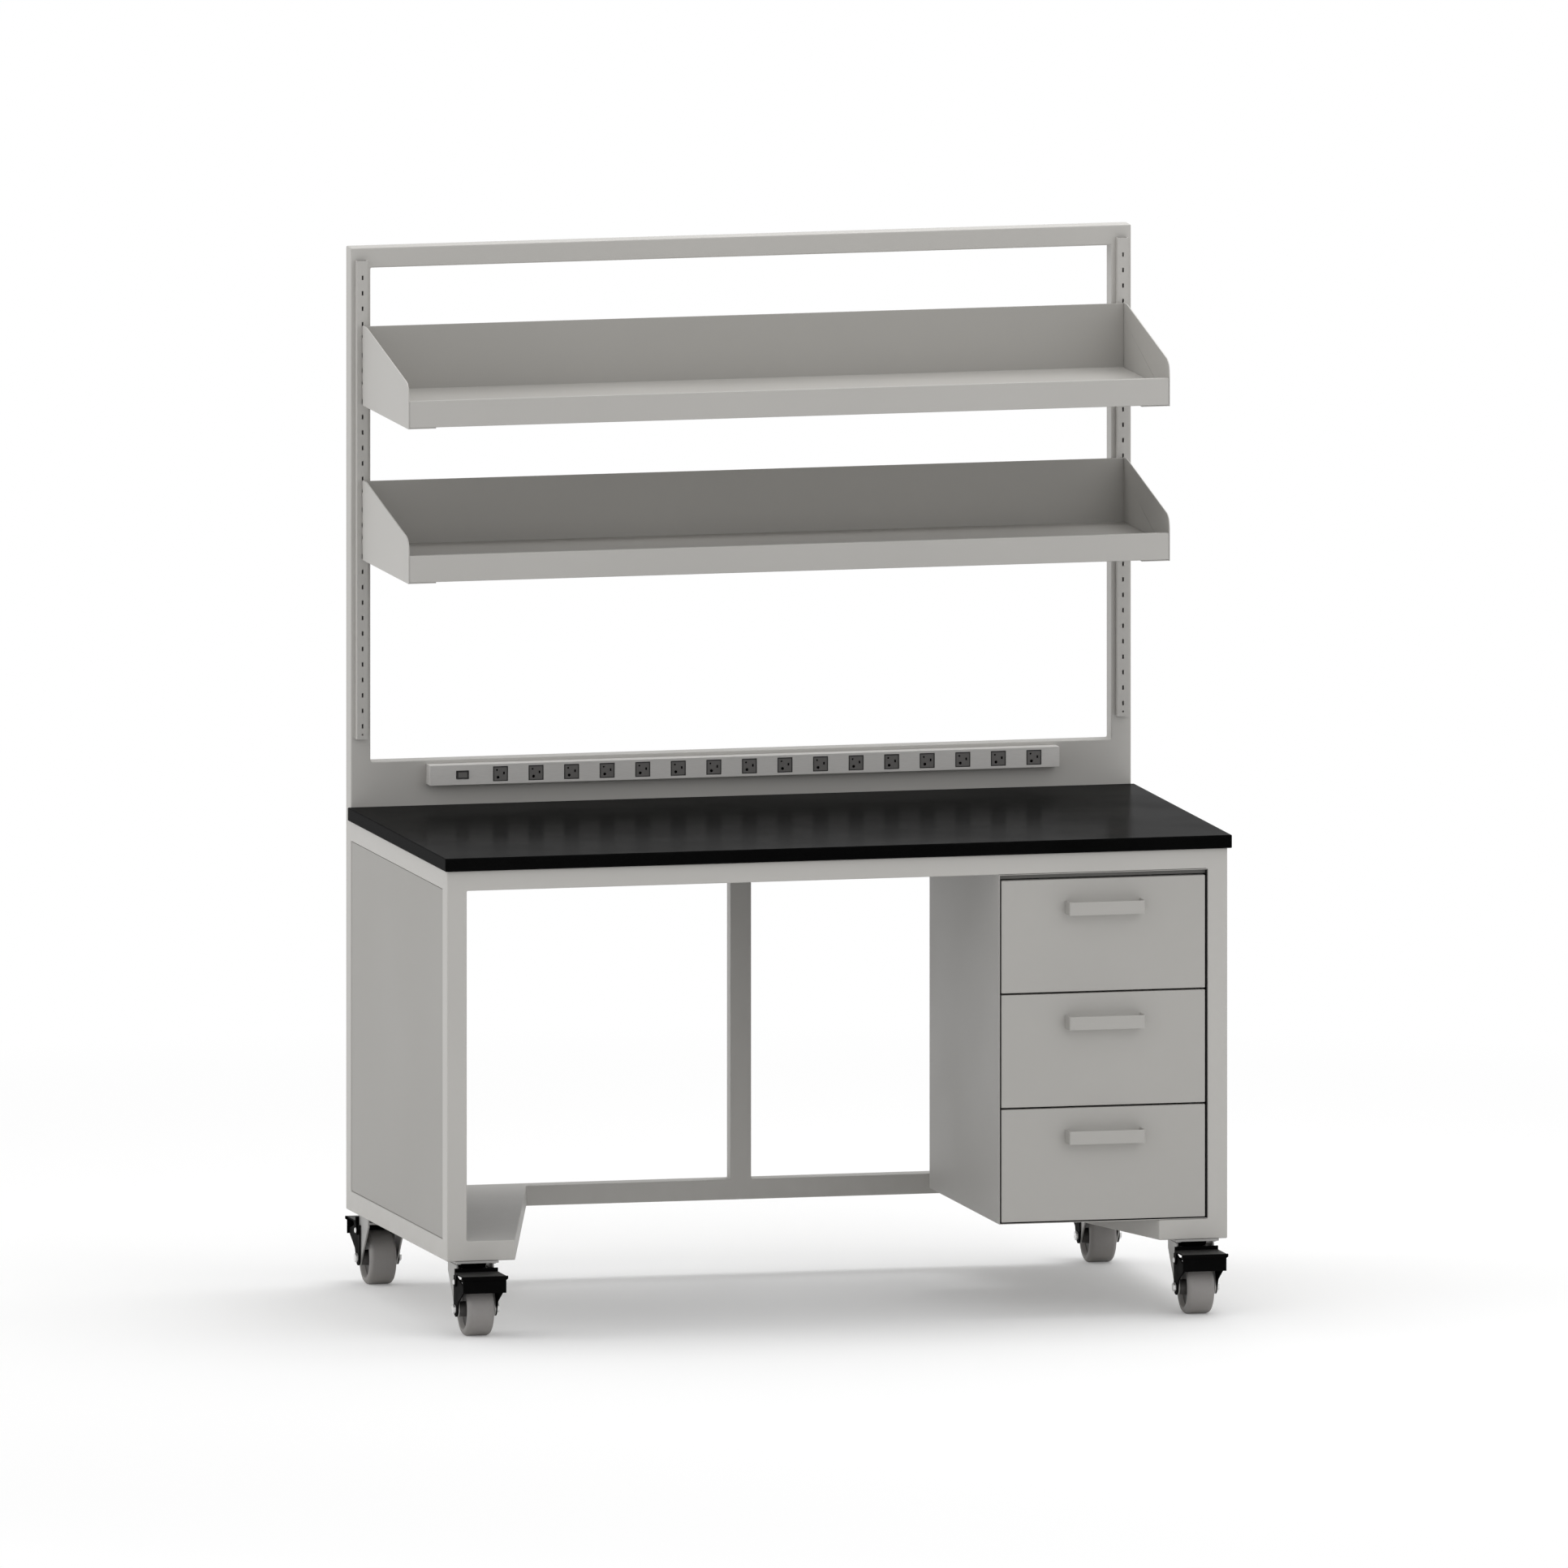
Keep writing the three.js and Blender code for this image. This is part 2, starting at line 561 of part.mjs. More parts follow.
function buildPowerRail() {
  const left = -RAIL_LENGTH / 2;
  const back = REAR_FACE - JOINT;
  const inside = RAIL_FRONT + SHEET;
  const top = RAIL_BOTTOM + RAIL_HEIGHT;
  const middle = RAIL_BOTTOM + RAIL_HEIGHT / 2;
  const socketX = (i) => left + SOCKET_FIRST + i * SOCKET_PITCH;
  const window = (x, width, height) =>
    box(
      x - width / 2,
      x + width / 2,
      RAIL_FRONT - SHEET,
      inside + SHEET,
      middle - height / 2,
      middle + height / 2,
    );
  const cuts = [
    box(left + SHEET, -left - SHEET, inside, back + SHEET, RAIL_BOTTOM + SHEET, top - SHEET),
    window(left + ROCKER_PLACE, ROCKER_WIDTH, ROCKER_HEIGHT),
  ];
  const carrierFace = inside + JOINT;
  const carrierTop = middle + SOCKET_HEIGHT / 2 + SHEET;
  const carrierBottom = middle - SOCKET_HEIGHT / 2 - SHEET;
  const reach = SOCKET_WIDTH / 2 + SHEET;
  const carrierBack = carrierFace + SOCKET_CARRIER;
  const carrier = box(
    socketX(0) - reach,
    socketX(SOCKET_COUNT - 1) + reach,
    carrierFace,
    carrierFace + SOCKET_CARRIER,
    carrierBottom,
    carrierTop,
  );
  const faces = [];
  const pins = [];
  for (let i = 0; i < SOCKET_COUNT; i++) {
    const { block, holes } = socketFace(middle, RAIL_FRONT + SOCKET_RECESS, carrierFace + JOINT);
    cuts.push(window(socketX(i), SOCKET_WIDTH, SOCKET_HEIGHT));
    faces.push(block.translate([socketX(i), 0, 0]));
    pins.push(holes.translate([socketX(i), 0, 0]));
  }
  const strip = wasm.Manifold.union([carrier, ...faces]).subtract(wasm.Manifold.union(pins));
  const shell = box(left, -left, RAIL_FRONT, back, RAIL_BOTTOM, top);
  add("power_rail_housing", shell.subtract(wasm.Manifold.union(cuts)), "rail");
  add("socket_strip", strip, "moulding");

  const half = ROCKER_WIDTH / 2 - ROCKER_CLEARANCE;
  const pivot = inside + JOINT + ROCKER_PIN;
  const face = RAIL_FRONT - ROCKER_PROUD;
  const rocker = prismZ(
    polygon([
      [0, RAIL_FRONT - ROCKER_PROUD / 2],
      [half, face],
      [half, pivot],
      [half / 2, pivot + 2 * ROCKER_PIN],
      [-half / 2, pivot + 2 * ROCKER_PIN],
      [-half, pivot],
      [-half, face],
    ]),
    middle - ROCKER_HEIGHT / 2 + JOINT,
    middle + ROCKER_HEIGHT / 2 - JOINT,
  );
  const pinReach = ROCKER_HEIGHT / 2 + SHEET;
  const pin = cylinder("z", middle - pinReach, middle + pinReach, [0, pivot], ROCKER_PIN, ROCKER_PIN, 10);
  add("rocker_switch", rocker.add(pin).translate([left + ROCKER_PLACE, 0, 0]), "moulding");
}

const drawerBottom = (index) => DRAWER_BASE + index * DRAWER_PITCH;

function buildCabinet() {
  const rear = FRONT + CABINET_DEPTH;
  const shell = box(CABINET_LEFT, CABINET_RIGHT, FRONT, rear, CABINET_BOTTOM, CABINET_TOP).subtract(
    box(
      CABINET_LEFT + SHEET,
      CABINET_RIGHT - SHEET,
      FRONT - SHEET,
      rear - SHEET,
      CABINET_BOTTOM + SHEET,
      CABINET_TOP - SHEET,
    ),
  );
  add("cabinet_shell", shell, "drawer");

  const wall = CABINET_WIDTH / 2 - SHEET - JOINT;
  const y0 = FRONT + DRAWER_FRONT_THICKNESS + RUNNING;
  const y1 = y0 + RUNNER_LENGTH;
  const pieces = [];
  for (let i = 0; i < DRAWER_COUNT; i++) {
    const z = drawerBottom(i) + RUNNER_RISE;
    const low = z - RUNNER_HEIGHT / 2;
    const high = z + RUNNER_HEIGHT / 2;
    const mouth = -wall + RUNNER_PROJECTION;
    const channel = polygon([
      [-wall, low],
      [mouth, low],
      [mouth, low + SHEET],
      [-wall + SHEET, low + SHEET],
      [-wall + SHEET, high - SHEET],
      [mouth, high - SHEET],
      [mouth, high],
      [-wall, high],
    ]);
    pieces.push(prismY(channel, y0, y1));
  }
  const strapTop = drawerBottom(DRAWER_COUNT - 1) + RUNNER_RISE + RUNNER_HEIGHT;
  const strapBottom = drawerBottom(0) + RUNNER_RISE - RUNNER_HEIGHT;
  for (const y of [y0 + RUNNER_STRAP, y1 - 2 * RUNNER_STRAP]) {
    pieces.push(box(-wall, -wall + SHEET, y, y + RUNNER_STRAP, strapBottom, strapTop));
  }
  const runner = wasm.Manifold.union(pieces);
  add("drawer_runner_left", runner.translate([CABINET_X, 0, 0]), "zinc");
  add("drawer_runner_right", runner.mirror([1, 0, 0]).translate([CABINET_X, 0, 0]), "zinc");
}

// A bow handle: one strip of steel bent back at both ends.
function handleSolid(z) {
  const outline = (inset) => {
    const half = HANDLE_WIDTH / 2 - inset;
    const radius = HANDLE_RADIUS - inset;
    const nose = FRONT - HANDLE_DEPTH + inset;
    const shape = new THREE.Shape();
    shape.moveTo(half, FRONT - JOINT + inset);
    shape.lineTo(-half, FRONT - JOINT + inset);
    shape.absarc(-half + radius, nose + radius, radius, Math.PI, 1.5 * Math.PI);
    shape.absarc(half - radius, nose + radius, radius, 1.5 * Math.PI, 2 * Math.PI);
    shape.closePath();
    return shape;
  };
  const top = z + HANDLE_HEIGHT;
  return prismZ(outline(0), z, top, 4).subtract(
    prismZ(outline(HANDLE_STOCK), z - HANDLE_STOCK, top + HANDLE_STOCK, 4),
  );
}

function buildDrawers() {
  const labels = ["bottom", "middle", "top"];
  for (let i = 0; i < DRAWER_COUNT; i++) {
    const name = labels[i] ?? `extra_${i}`;
    const z0 = drawerBottom(i);
    const z1 = z0 + DRAWER_FRONT_HEIGHT;
    const half = CABINET_WIDTH / 2 - SHEET - DRAWER_SIDE_GAP;
    const back = FRONT + DRAWER_FRONT_THICKNESS;
    const front = box(-half, half, FRONT, back, z0, z1).subtract(
      box(-half + SHEET, half - SHEET, FRONT + SHEET, back + SHEET, z0 + SHEET, z1 - SHEET),
    );
    add(`${name}_drawer_front`, front.translate([CABINET_X, 0, 0]), "drawer");

    const wall = CABINET_WIDTH / 2 - SHEET - JOINT - RUNNER_PROJECTION - RUNNING;
    const y0 = back + JOINT;
    const y1 = y0 + DRAWER_BOX_LENGTH;
    const base = z0 + DRAWER_BOX_LIFT;
    const tray = box(-wall, wall, y0, y1, base, base + DRAWER_BOX_HEIGHT).subtract(
      box(
        -wall + DRAWER_WALL,
        wall - DRAWER_WALL,
        y0 + DRAWER_WALL,
        y1 - DRAWER_WALL,
        base + DRAWER_WALL,
        base + 2 * DRAWER_BOX_HEIGHT,
      ),
    );
    const slide = RUNNER_HEIGHT / 2 - SHEET - RUNNING;
    const reach = wall + RUNNER_PROJECTION - SHEET;
    const z = z0 + RUNNER_RISE;
    const start = y0 + RUNNING;
    const left = box(-reach, -wall + JOINT, start, y1, z - slide, z + slide);
    const right = box(wall - JOINT, reach, start, y1, z - slide, z + slide);
    const body = wasm.Manifold.union([tray, left, right]).translate([CABINET_X, 0, 0]);
    add(`${name}_drawer_box`, body, "zinc");

    const handle = handleSolid(z1 - HANDLE_DROP - HANDLE_HEIGHT);
    add(`${name}_drawer_handle`, handle.translate([CABINET_X, 0, 0]), "coat");
  }
}

// The wheel about its own axle: rounded tread, dished sides and a hub as wide as the fork allows.
function wheelSolid() {
  const half = WHEEL_WIDTH / 2;
  const bore = AXLE_RADIUS + RUNNING;
  const hub = FORK_INSIDE / 2 - RUNNING;
  const flat = half - WHEEL_ROUND;
  const profile = [
    [bore, -hub],
    [HUB_RADIUS, -hub],
    [HUB_RADIUS, -half + WHEEL_DISH],
    [WHEEL_RIM, -half + WHEEL_DISH],
    [WHEEL_RIM + WHEEL_DISH / 2, -half],
    [WHEEL_RADIUS - WHEEL_ROUND, -half],
  ];
  const corner = Math.PI / 4;
  profile.push([
    WHEEL_RADIUS - WHEEL_ROUND * (1 - Math.sin(corner)),
    -flat - WHEEL_ROUND * Math.cos(corner),
  ]);
  profile.push([WHEEL_RADIUS, -flat]);
  const whole = [...profile, ...profile.map(([r, x]) => [r, -x]).reverse(), profile[0]];
  const geometry = new THREE.LatheGeometry(whole.map(([r, x]) => new THREE.Vector2(r, x)), 24);
  geometry.rotateZ(-Math.PI / 2);
  return toSolid(geometry);
}

// One caster in its own frame: the swivel axis is x = y = 0 and the wheel trails towards -Y.
function casterSolids() {
  const axle = -CASTER_TRAIL;
  const union = (pieces) => wasm.Manifold.union(pieces);
  const bothSides = (solid) => [solid, solid.mirror([1, 0, 0])];

  const plateTop = PLATE_BOTTOM + PLATE_THICKNESS;
  const headTop = CROWN_TOP - CROWN_THICKNESS - JOINT;
  const collarBottom = PLATE_BOTTOM - COLLAR_HEIGHT;
  const outline = roundedRectangle(PLATE_WIDTH, PLATE_LENGTH, HANDLE_RADIUS, 0, 0);
  const plate = union([
    prismZ(outline, PLATE_BOTTOM, plateTop),
    cylinder("z", collarBottom, PLATE_BOTTOM + JOINT, [0, 0], COLLAR_RADIUS, COLLAR_TOP_RADIUS, 20),
    cylinder("z", headTop - JOINT, collarBottom + JOINT, [0, 0], KINGPIN_RADIUS, KINGPIN_RADIUS, 12),
    cylinder("z", headTop - KINGPIN_HEAD_THICKNESS, headTop, [0, 0], KINGPIN_HEAD, KINGPIN_HEAD, 8),
  ]);

  const legTop = CROWN_TOP + SHOULDER;
  const leg = new THREE.Shape();
  leg.moveTo(-CROWN_REACH, legTop);
  leg.lineTo(-CROWN_REACH, PIVOT_HEIGHT);
  leg.lineTo(axle - LEG_ROUND, WHEEL_RADIUS);
  leg.absarc(axle, WHEEL_RADIUS, LEG_ROUND, Math.PI, 1.9 * Math.PI);
  leg.lineTo(CROWN_BACK, CROWN_TOP - 2 * CROWN_THICKNESS);
  leg.lineTo(CROWN_BACK, legTop);
  leg.closePath();
  const crown = box(
    -FORK_OUT + JOINT,
    FORK_OUT - JOINT,
    -CROWN_REACH,
    CROWN_BACK,
    CROWN_TOP - CROWN_THICKNESS,
    CROWN_TOP,
  ).subtract(
    cylinder("z", headTop, CROWN_TOP + SHEET, [0, 0], KINGPIN_RADIUS + JOINT, KINGPIN_RADIUS + JOINT, 12),
  );
  const head = CHEEK_OUT + JOINT;
  const bolt = [axle, WHEEL_RADIUS];
  const fork = union([
    crown,
    ...bothSides(prismX(leg, FORK_INSIDE / 2, FORK_OUT, 5)),
    cylinder("x", -head - JOINT, head + JOINT, bolt, AXLE_RADIUS),
    ...bothSides(cylinder("x", head, head + AXLE_HEAD_THICKNESS, bolt, AXLE_HEAD, AXLE_HEAD, 6)),
  ]);

  const pivot = [axle - PIVOT_AHEAD, PIVOT_HEIGHT];
  const cheek = new THREE.Shape();
  cheek.moveTo(axle + CHEEK_BACK, CHEEK_TOP);
  cheek.lineTo(pivot[0] - EAR_RADIUS, CHEEK_TOP);
  cheek.lineTo(axle - CHEEK_NOSE, CHEEK_NOSE_TOP);
  cheek.lineTo(axle - CHEEK_NOSE, CHEEK_NOSE_BOTTOM);
  cheek.lineTo(axle - CHEEK_BACK - LEG_ROUND / 2, WHEEL_RADIUS + LEG_ROUND);
  cheek.absarc(axle, WHEEL_RADIUS, CHEEK_BACK, Math.PI, 2 * Math.PI);
  cheek.closePath();
  const cheekSolid = prismX(cheek, CHEEK_IN, CHEEK_OUT, 5)
    .subtract(cylinder("x", CHEEK_IN - SHEET, CHEEK_OUT + SHEET, bolt, AXLE_RADIUS + JOINT))
    .add(cylinder("x", CHEEK_IN, EAR_OUT + 2 * JOINT, pivot, PIVOT_RADIUS, PIVOT_RADIUS, 8))
    .add(
      cylinder(
        "x",
        EAR_OUT + JOINT,
        EAR_OUT + JOINT + PIVOT_HEAD_THICKNESS,
        pivot,
        PIVOT_HEAD,
        PIVOT_HEAD - PIVOT_HEAD_THICKNESS / 2,
        8,
      ),
    );
  const yokeFront = axle - CHEEK_NOSE / 2;
  const yoke = box(
    -CHEEK_OUT + JOINT,
    CHEEK_OUT - JOINT,
    yokeFront,
    -CROWN_REACH - 2 * EAR_RADIUS / 3,
    YOKE_BOTTOM,
    YOKE_BOTTOM + YOKE_THICKNESS,
  );
  const housing = union([...bothSides(cheekSolid), yoke]);

  const nose = axle - PEDAL_NOSE;
  const heel = axle - PEDAL_HEEL;
  const under = PEDAL_TOP - PEDAL_PLATE;
  const hood = polygon([
    [nose, PEDAL_TOP - PEDAL_APRON],
    [nose, PEDAL_TOP - 3 * PEDAL_LIP],
    [nose - PEDAL_LIP, PEDAL_TOP - 2 * PEDAL_LIP],
    [nose - PEDAL_LIP, PEDAL_TOP],
    [heel - PEDAL_PLATE, PEDAL_TOP],
    [heel - PEDAL_PLATE, PEDAL_TOP + PEDAL_HEEL_RISE],
    [heel, PEDAL_TOP + PEDAL_HEEL_RISE],
    [heel, under],
    [nose + PEDAL_PLATE, under],
    [nose + PEDAL_PLATE, PEDAL_TOP - PEDAL_APRON],
  ].reverse());
  const ear = new THREE.Shape();
  ear.moveTo(pivot[0] + EAR_RADIUS, PIVOT_HEIGHT);
  ear.lineTo(heel, under + JOINT);
  ear.lineTo(pivot[0] - 2 * EAR_RADIUS, under + JOINT);
  ear.lineTo(pivot[0] - EAR_RADIUS, PIVOT_HEIGHT);
  ear.absarc(pivot[0], PIVOT_HEIGHT, EAR_RADIUS, Math.PI, 2 * Math.PI);
  const earSolid = prismX(ear, EAR_IN, EAR_OUT, 6).subtract(
    cylinder("x", EAR_IN - SHEET, EAR_OUT + SHEET, pivot, PIVOT_RADIUS + JOINT, PIVOT_RADIUS + JOINT, 8),
  );
  const pedal = union([prismX(hood, -EAR_OUT, EAR_OUT), ...bothSides(earSolid)]);

  return { plate, fork, housing, pedal, wheel: wheelSolid().translate([0, axle, WHEEL_RADIUS]) };
}

function buildCasters() {
  const solids = casterSolids();
  const finishes = { plate: "zinc", fork: "zinc", housing: "black", pedal: "black", wheel: "tyre" };
  for (const [end, facing] of [["front", 0], ["rear", Math.PI]]) {
    for (const [label, side] of SIDES) {
      const caster = new THREE.Group();
      const y = facing ? REAR - CASTER_SETBACK : FRONT + CASTER_SETBACK;
      caster.name = `caster_${end}_${label}`;
      caster.position.set(side * (HALF_WIDTH - CASTER_INSET), y, 0);
      caster.rotation.z = facing;
      for (const [piece, solid] of Object.entries(solids)) {
        add(`${caster.name}_${piece}`, solid, finishes[piece], caster);
      }
      object.add(caster);
    }
  }
}

buildFrame();
buildBasePans();
buildSidePanels();
buildWorktop();
buildStandards();
buildShelves();
buildPowerRail();
buildCabinet();
buildDrawers();
buildCasters();

export default object;
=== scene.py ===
"""Looks of a mobile laboratory bench with a reagent shelf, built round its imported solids.

Every piece is in metres in the frame of the solids: the front faces -Y, +Z is up and the
floor is z = 0. Each class models one sub-assembly and dresses it in its finishes.
"""

from __future__ import annotations

import logging
import math
from collections.abc import Callable, Iterator
from contextlib import contextmanager
from dataclasses import asdict, dataclass
from enum import Enum

import bpy
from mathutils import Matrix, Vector


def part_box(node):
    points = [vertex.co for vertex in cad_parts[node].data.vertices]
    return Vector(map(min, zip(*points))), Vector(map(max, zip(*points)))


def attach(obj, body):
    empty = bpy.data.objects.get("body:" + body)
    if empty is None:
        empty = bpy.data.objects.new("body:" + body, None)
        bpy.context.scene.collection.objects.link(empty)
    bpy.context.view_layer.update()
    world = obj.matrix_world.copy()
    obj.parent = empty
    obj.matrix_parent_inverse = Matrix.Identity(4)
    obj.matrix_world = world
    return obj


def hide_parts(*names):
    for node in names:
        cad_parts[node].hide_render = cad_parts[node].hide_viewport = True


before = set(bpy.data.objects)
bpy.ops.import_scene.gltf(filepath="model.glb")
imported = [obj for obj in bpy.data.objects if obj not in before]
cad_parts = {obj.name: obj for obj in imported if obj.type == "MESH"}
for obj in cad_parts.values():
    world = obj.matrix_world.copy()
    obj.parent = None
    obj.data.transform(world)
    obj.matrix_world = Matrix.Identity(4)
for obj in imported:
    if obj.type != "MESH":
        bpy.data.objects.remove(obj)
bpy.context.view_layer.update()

LOG = logging.getLogger("lab_bench")
Colour = tuple[float, float, float]
Point = tuple[float, float, float]
Obj = bpy.types.Object
Face = bpy.types.MeshPolygon

SIDES = ("left", "right")
WHITE: Colour = (1.0, 1.0, 1.0)
EVEN: Point = (1.0, 1.0, 1.0)
FACING = 0.9  # least share of a normal along an axis for a face that looks that way
TOUCH = 1e-5  # how far a point on a plane may lie from it
MERGE = 2e-6  # distance under which two points of a CAD node are one
SPIN_MERGE = 1e-5  # the same for a spun piece
GRID_DIGITS = 5  # decimals of a metre that a snapped point keeps
SHARP_EDGE = math.radians(32)  # least angle of an edge that is rounded
FLAT_WEIGHT = 80  # how strongly flat faces hold their shading
MIX_INPUTS = (0, 6, 7)  # sockets of a Mix node for the share and the two colours
MIX_OUTPUT = 2
RANGE_INPUTS = ("From Min", "From Max", "To Min", "To Max")


class Axis(Enum):
    """A direction that a profile runs along, with the order of its two profile axes."""

    X = (0, 1, 2)
    Y = (1, 0, 2)
    Z = (2, 0, 1)


class Effect(Enum):
    """The shared shader node groups, by name."""

    GRAIN = "surface_grain"
    DRIFT = "tone_drift"
    EDGES = "edge_band"
    DUST = "settled_dust"


def linear(level: float) -> float:
    """The linear value of an sRGB level from 0 to 255."""
    share = level / 255
    return share / 12.92 if share <= 0.04045 else ((share + 0.055) / 1.055) ** 2.4


def shade(red: float, green: float, blue: float) -> Colour:
    """A linear colour from sRGB levels from 0 to 255."""
    return (linear(red), linear(green), linear(blue))


class Tree:
    """A node tree that is filled from left to right."""

    def __init__(self, tree: bpy.types.NodeTree) -> None:
        """Starts by emptying the tree of a material, a group or a world."""
        self.tree = tree
        self.tree.nodes.clear()

    def node(self, kind: str, inputs: dict | None = None, **settings: object) -> bpy.types.Node:
        """Adds a node and fills its inputs.

        Args:
            kind: the node's type name.
            inputs: values or output sockets by input name or index.
            settings: attributes of the node itself.

        Returns:
            The new node.
        """
        made = self.tree.nodes.new(kind)
        for name, value in settings.items():
            setattr(made, name, value)
        for key, value in (inputs or {}).items():
            self.put(made.inputs[key], value)
        return made

    def put(self, socket: bpy.types.NodeSocket, value: object) -> None:
        """Links an output socket to an input, or sets the input's own value.

        Args:
            socket: the input.
            value: an output socket, a colour or a plain value.
        """
        if isinstance(value, bpy.types.NodeSocket):
            self.tree.links.new(value, socket)
        elif socket.type == "RGBA":
            socket.default_value = (*value, 1.0)
        else:
            socket.default_value = value

    def maths(self, operation: str, *values: object) -> bpy.types.NodeSocket:
        """The result of a Math node on up to three values."""
        made = self.node("ShaderNodeMath", dict(enumerate(values)), operation=operation)
        return made.outputs[0]

    def noise(self, vector: object, scale: object, detail: float) -> bpy.types.NodeSocket:
        """The factor of a noise texture."""
        inputs = {"Vector": vector, "Scale": scale, "Detail": detail}
        return self.node("ShaderNodeTexNoise", inputs).outputs[0]

    def ranged(self, value: object, *limits: object) -> bpy.types.NodeSocket:
        """A value moved from one range, the first two limits, to another and held inside it."""
        inputs = {"Value": value, **dict(zip(RANGE_INPUTS, limits))}
        return self.node("ShaderNodeMapRange", inputs).outputs[0]

    def mix(self, share: object, first: object, second: object, blend: str = "MIX") -> bpy.types.NodeSocket:
        """Two colours mixed, with a share of the second."""
        inputs = dict(zip(MIX_INPUTS, (share, first, second)))
        return self.node("ShaderNodeMix", inputs, data_type="RGBA", blend_type=blend).outputs[MIX_OUTPUT]


@dataclass
class Effects:
    """Builds each shared node group once and places it in materials.

    Attributes:
        finer: how much finer the second grain is than the first.
        fine_share: share of the fine grain in the height.
        fleck: noise levels between which a fleck fades in.
        cloud: noise levels between which the tone drifts.
        rub_scale: noise scale of the breaks in a rubbed band.
        rub: noise levels between which the band breaks up.
        film_scale: noise scale of the dust's clouds.
        film: noise levels between which the dust thickens.
        film_least: share of dust that lies everywhere.
    """

    finer: float = 3.1
    fine_share: float = 0.3
    fleck: tuple[float, float] = (0.35, 0.65)
    cloud: tuple[float, float] = (0.3, 0.7)
    rub_scale: float = 55.0
    rub: tuple[float, float] = (0.42, 0.62)
    film_scale: float = 38.0
    film: tuple[float, float] = (0.35, 0.7)
    film_least: float = 0.2

    def __post_init__(self) -> None:
        """Builds the four groups."""
        self.groups: dict[Effect, bpy.types.NodeTree] = {}
        for build in (self._grain, self._drift, self._edges, self._dust):
            build()

    def _start(self, effect: Effect, inputs: dict[str, str], outputs: dict[str, str]) -> tuple[Tree, dict]:
        """Makes a group with its named sockets.

        Args:
            effect: the group's name.
            inputs: socket kinds by input name.
            outputs: socket kinds by output name.

        Returns:
            The group's tree, and its input sockets by name.
        """
        group = bpy.data.node_groups.new(effect.value, "ShaderNodeTree")
        self.groups[effect] = group
        tree = Tree(group)
        for name, kind in inputs.items():
            group.interface.new_socket(name, in_out="INPUT", socket_type=f"NodeSocket{kind}")
        for name, kind in outputs.items():
            group.interface.new_socket(name, in_out="OUTPUT", socket_type=f"NodeSocket{kind}")
        given = tree.node("NodeGroupInput")
        return tree, {name: given.outputs[name] for name in inputs}

    def _grain(self) -> None:
        """Orange peel and fine speckle of a sprayed or moulded skin."""
        names = {"Vector": "Vector", "Scale": "Float"}
        tree, given = self._start(Effect.GRAIN, names, {"Height": "Float", "Speckle": "Float"})
        coarse = tree.noise(given["Vector"], given["Scale"], detail=1.0)
        scale = tree.maths("MULTIPLY", given["Scale"], self.finer)
        fine = tree.noise(given["Vector"], scale, detail=2.0)
        broad = tree.maths("MULTIPLY", coarse, 1 - self.fine_share)
        height = tree.maths("ADD", broad, tree.maths("MULTIPLY", fine, self.fine_share))
        speckle = tree.ranged(fine, *self.fleck, 0.0, 1.0)
        tree.node("NodeGroupOutput", {"Height": height, "Speckle": speckle})

    def _drift(self) -> None:
        """Slow change of tone over a surface."""
        names = {"Vector": "Vector", "Base": "Color", "Scale": "Float", "Amount": "Float"}
        tree, given = self._start(Effect.DRIFT, names, {"Colour": "Color", "Share": "Float"})
        cloud = tree.noise(given["Vector"], given["Scale"], detail=4.0)
        share = tree.ranged(cloud, *self.cloud, 0.0, 1.0)
        low = tree.maths("SUBTRACT", 1.0, given["Amount"])
        high = tree.maths("ADD", 1.0, given["Amount"])
        level = tree.ranged(share, 0.0, 1.0, low, high)
        grey = tree.node("ShaderNodeCombineColor", {0: level, 1: level, 2: level}).outputs[0]
        colour = tree.mix(1.0, given["Base"], grey, "MULTIPLY")
        tree.node("NodeGroupOutput", {"Colour": colour, "Share": share})

    def _edges(self) -> None:
        """A broken band along the edges of a box, where handling rubs a finish."""
        names = {"Vector": "Vector", "Low": "Vector", "High": "Vector", "Width": "Float"}
        tree, given = self._start(Effect.EDGES, names, {"Mask": "Float"})
        kind = "ShaderNodeVectorMath"
        below = tree.node(kind, {0: given["Vector"], 1: given["Low"]}, operation="SUBTRACT").outputs[0]
        above = tree.node(kind, {0: given["High"], 1: given["Vector"]}, operation="SUBTRACT").outputs[0]
        near = tree.node(kind, {0: below, 1: above}, operation="MINIMUM").outputs[0]
        parts = tree.node("ShaderNodeSeparateXYZ", {0: near}).outputs
        least = tree.maths("MINIMUM", parts[0], parts[1])
        most = tree.maths("MAXIMUM", parts[0], parts[1])
        second = tree.maths("MAXIMUM", least, tree.maths("MINIMUM", most, parts[2]))
        band = tree.ranged(tree.maths("DIVIDE", second, given["Width"]), 0.0, 1.0, 1.0, 0.0)
        noise = tree.noise(given["Vector"], self.rub_scale, detail=5.0)
        broken = tree.ranged(noise, *self.rub, 0.0, 1.0)
        tree.node("NodeGroupOutput", {"Mask": tree.maths("MULTIPLY", band, broken)})

    def _dust(self) -> None:
        """A film of dust that thins out with height above the floor."""
        names = {"Vector": "Vector", "Reach": "Float"}
        tree, given = self._start(Effect.DUST, names, {"Mask": "Float"})
        height = tree.node("ShaderNodeSeparateXYZ", {0: given["Vector"]}).outputs[2]
        film = tree.ranged(tree.maths("DIVIDE", height, given["Reach"]), 0.0, 1.0, 1.0, 0.0)
        noise = tree.noise(given["Vector"], self.film_scale, detail=4.0)
        cloud = tree.ranged(noise, *self.film, self.film_least, 1.0)
        tree.node("NodeGroupOutput", {"Mask": tree.maths("MULTIPLY", film, cloud)})

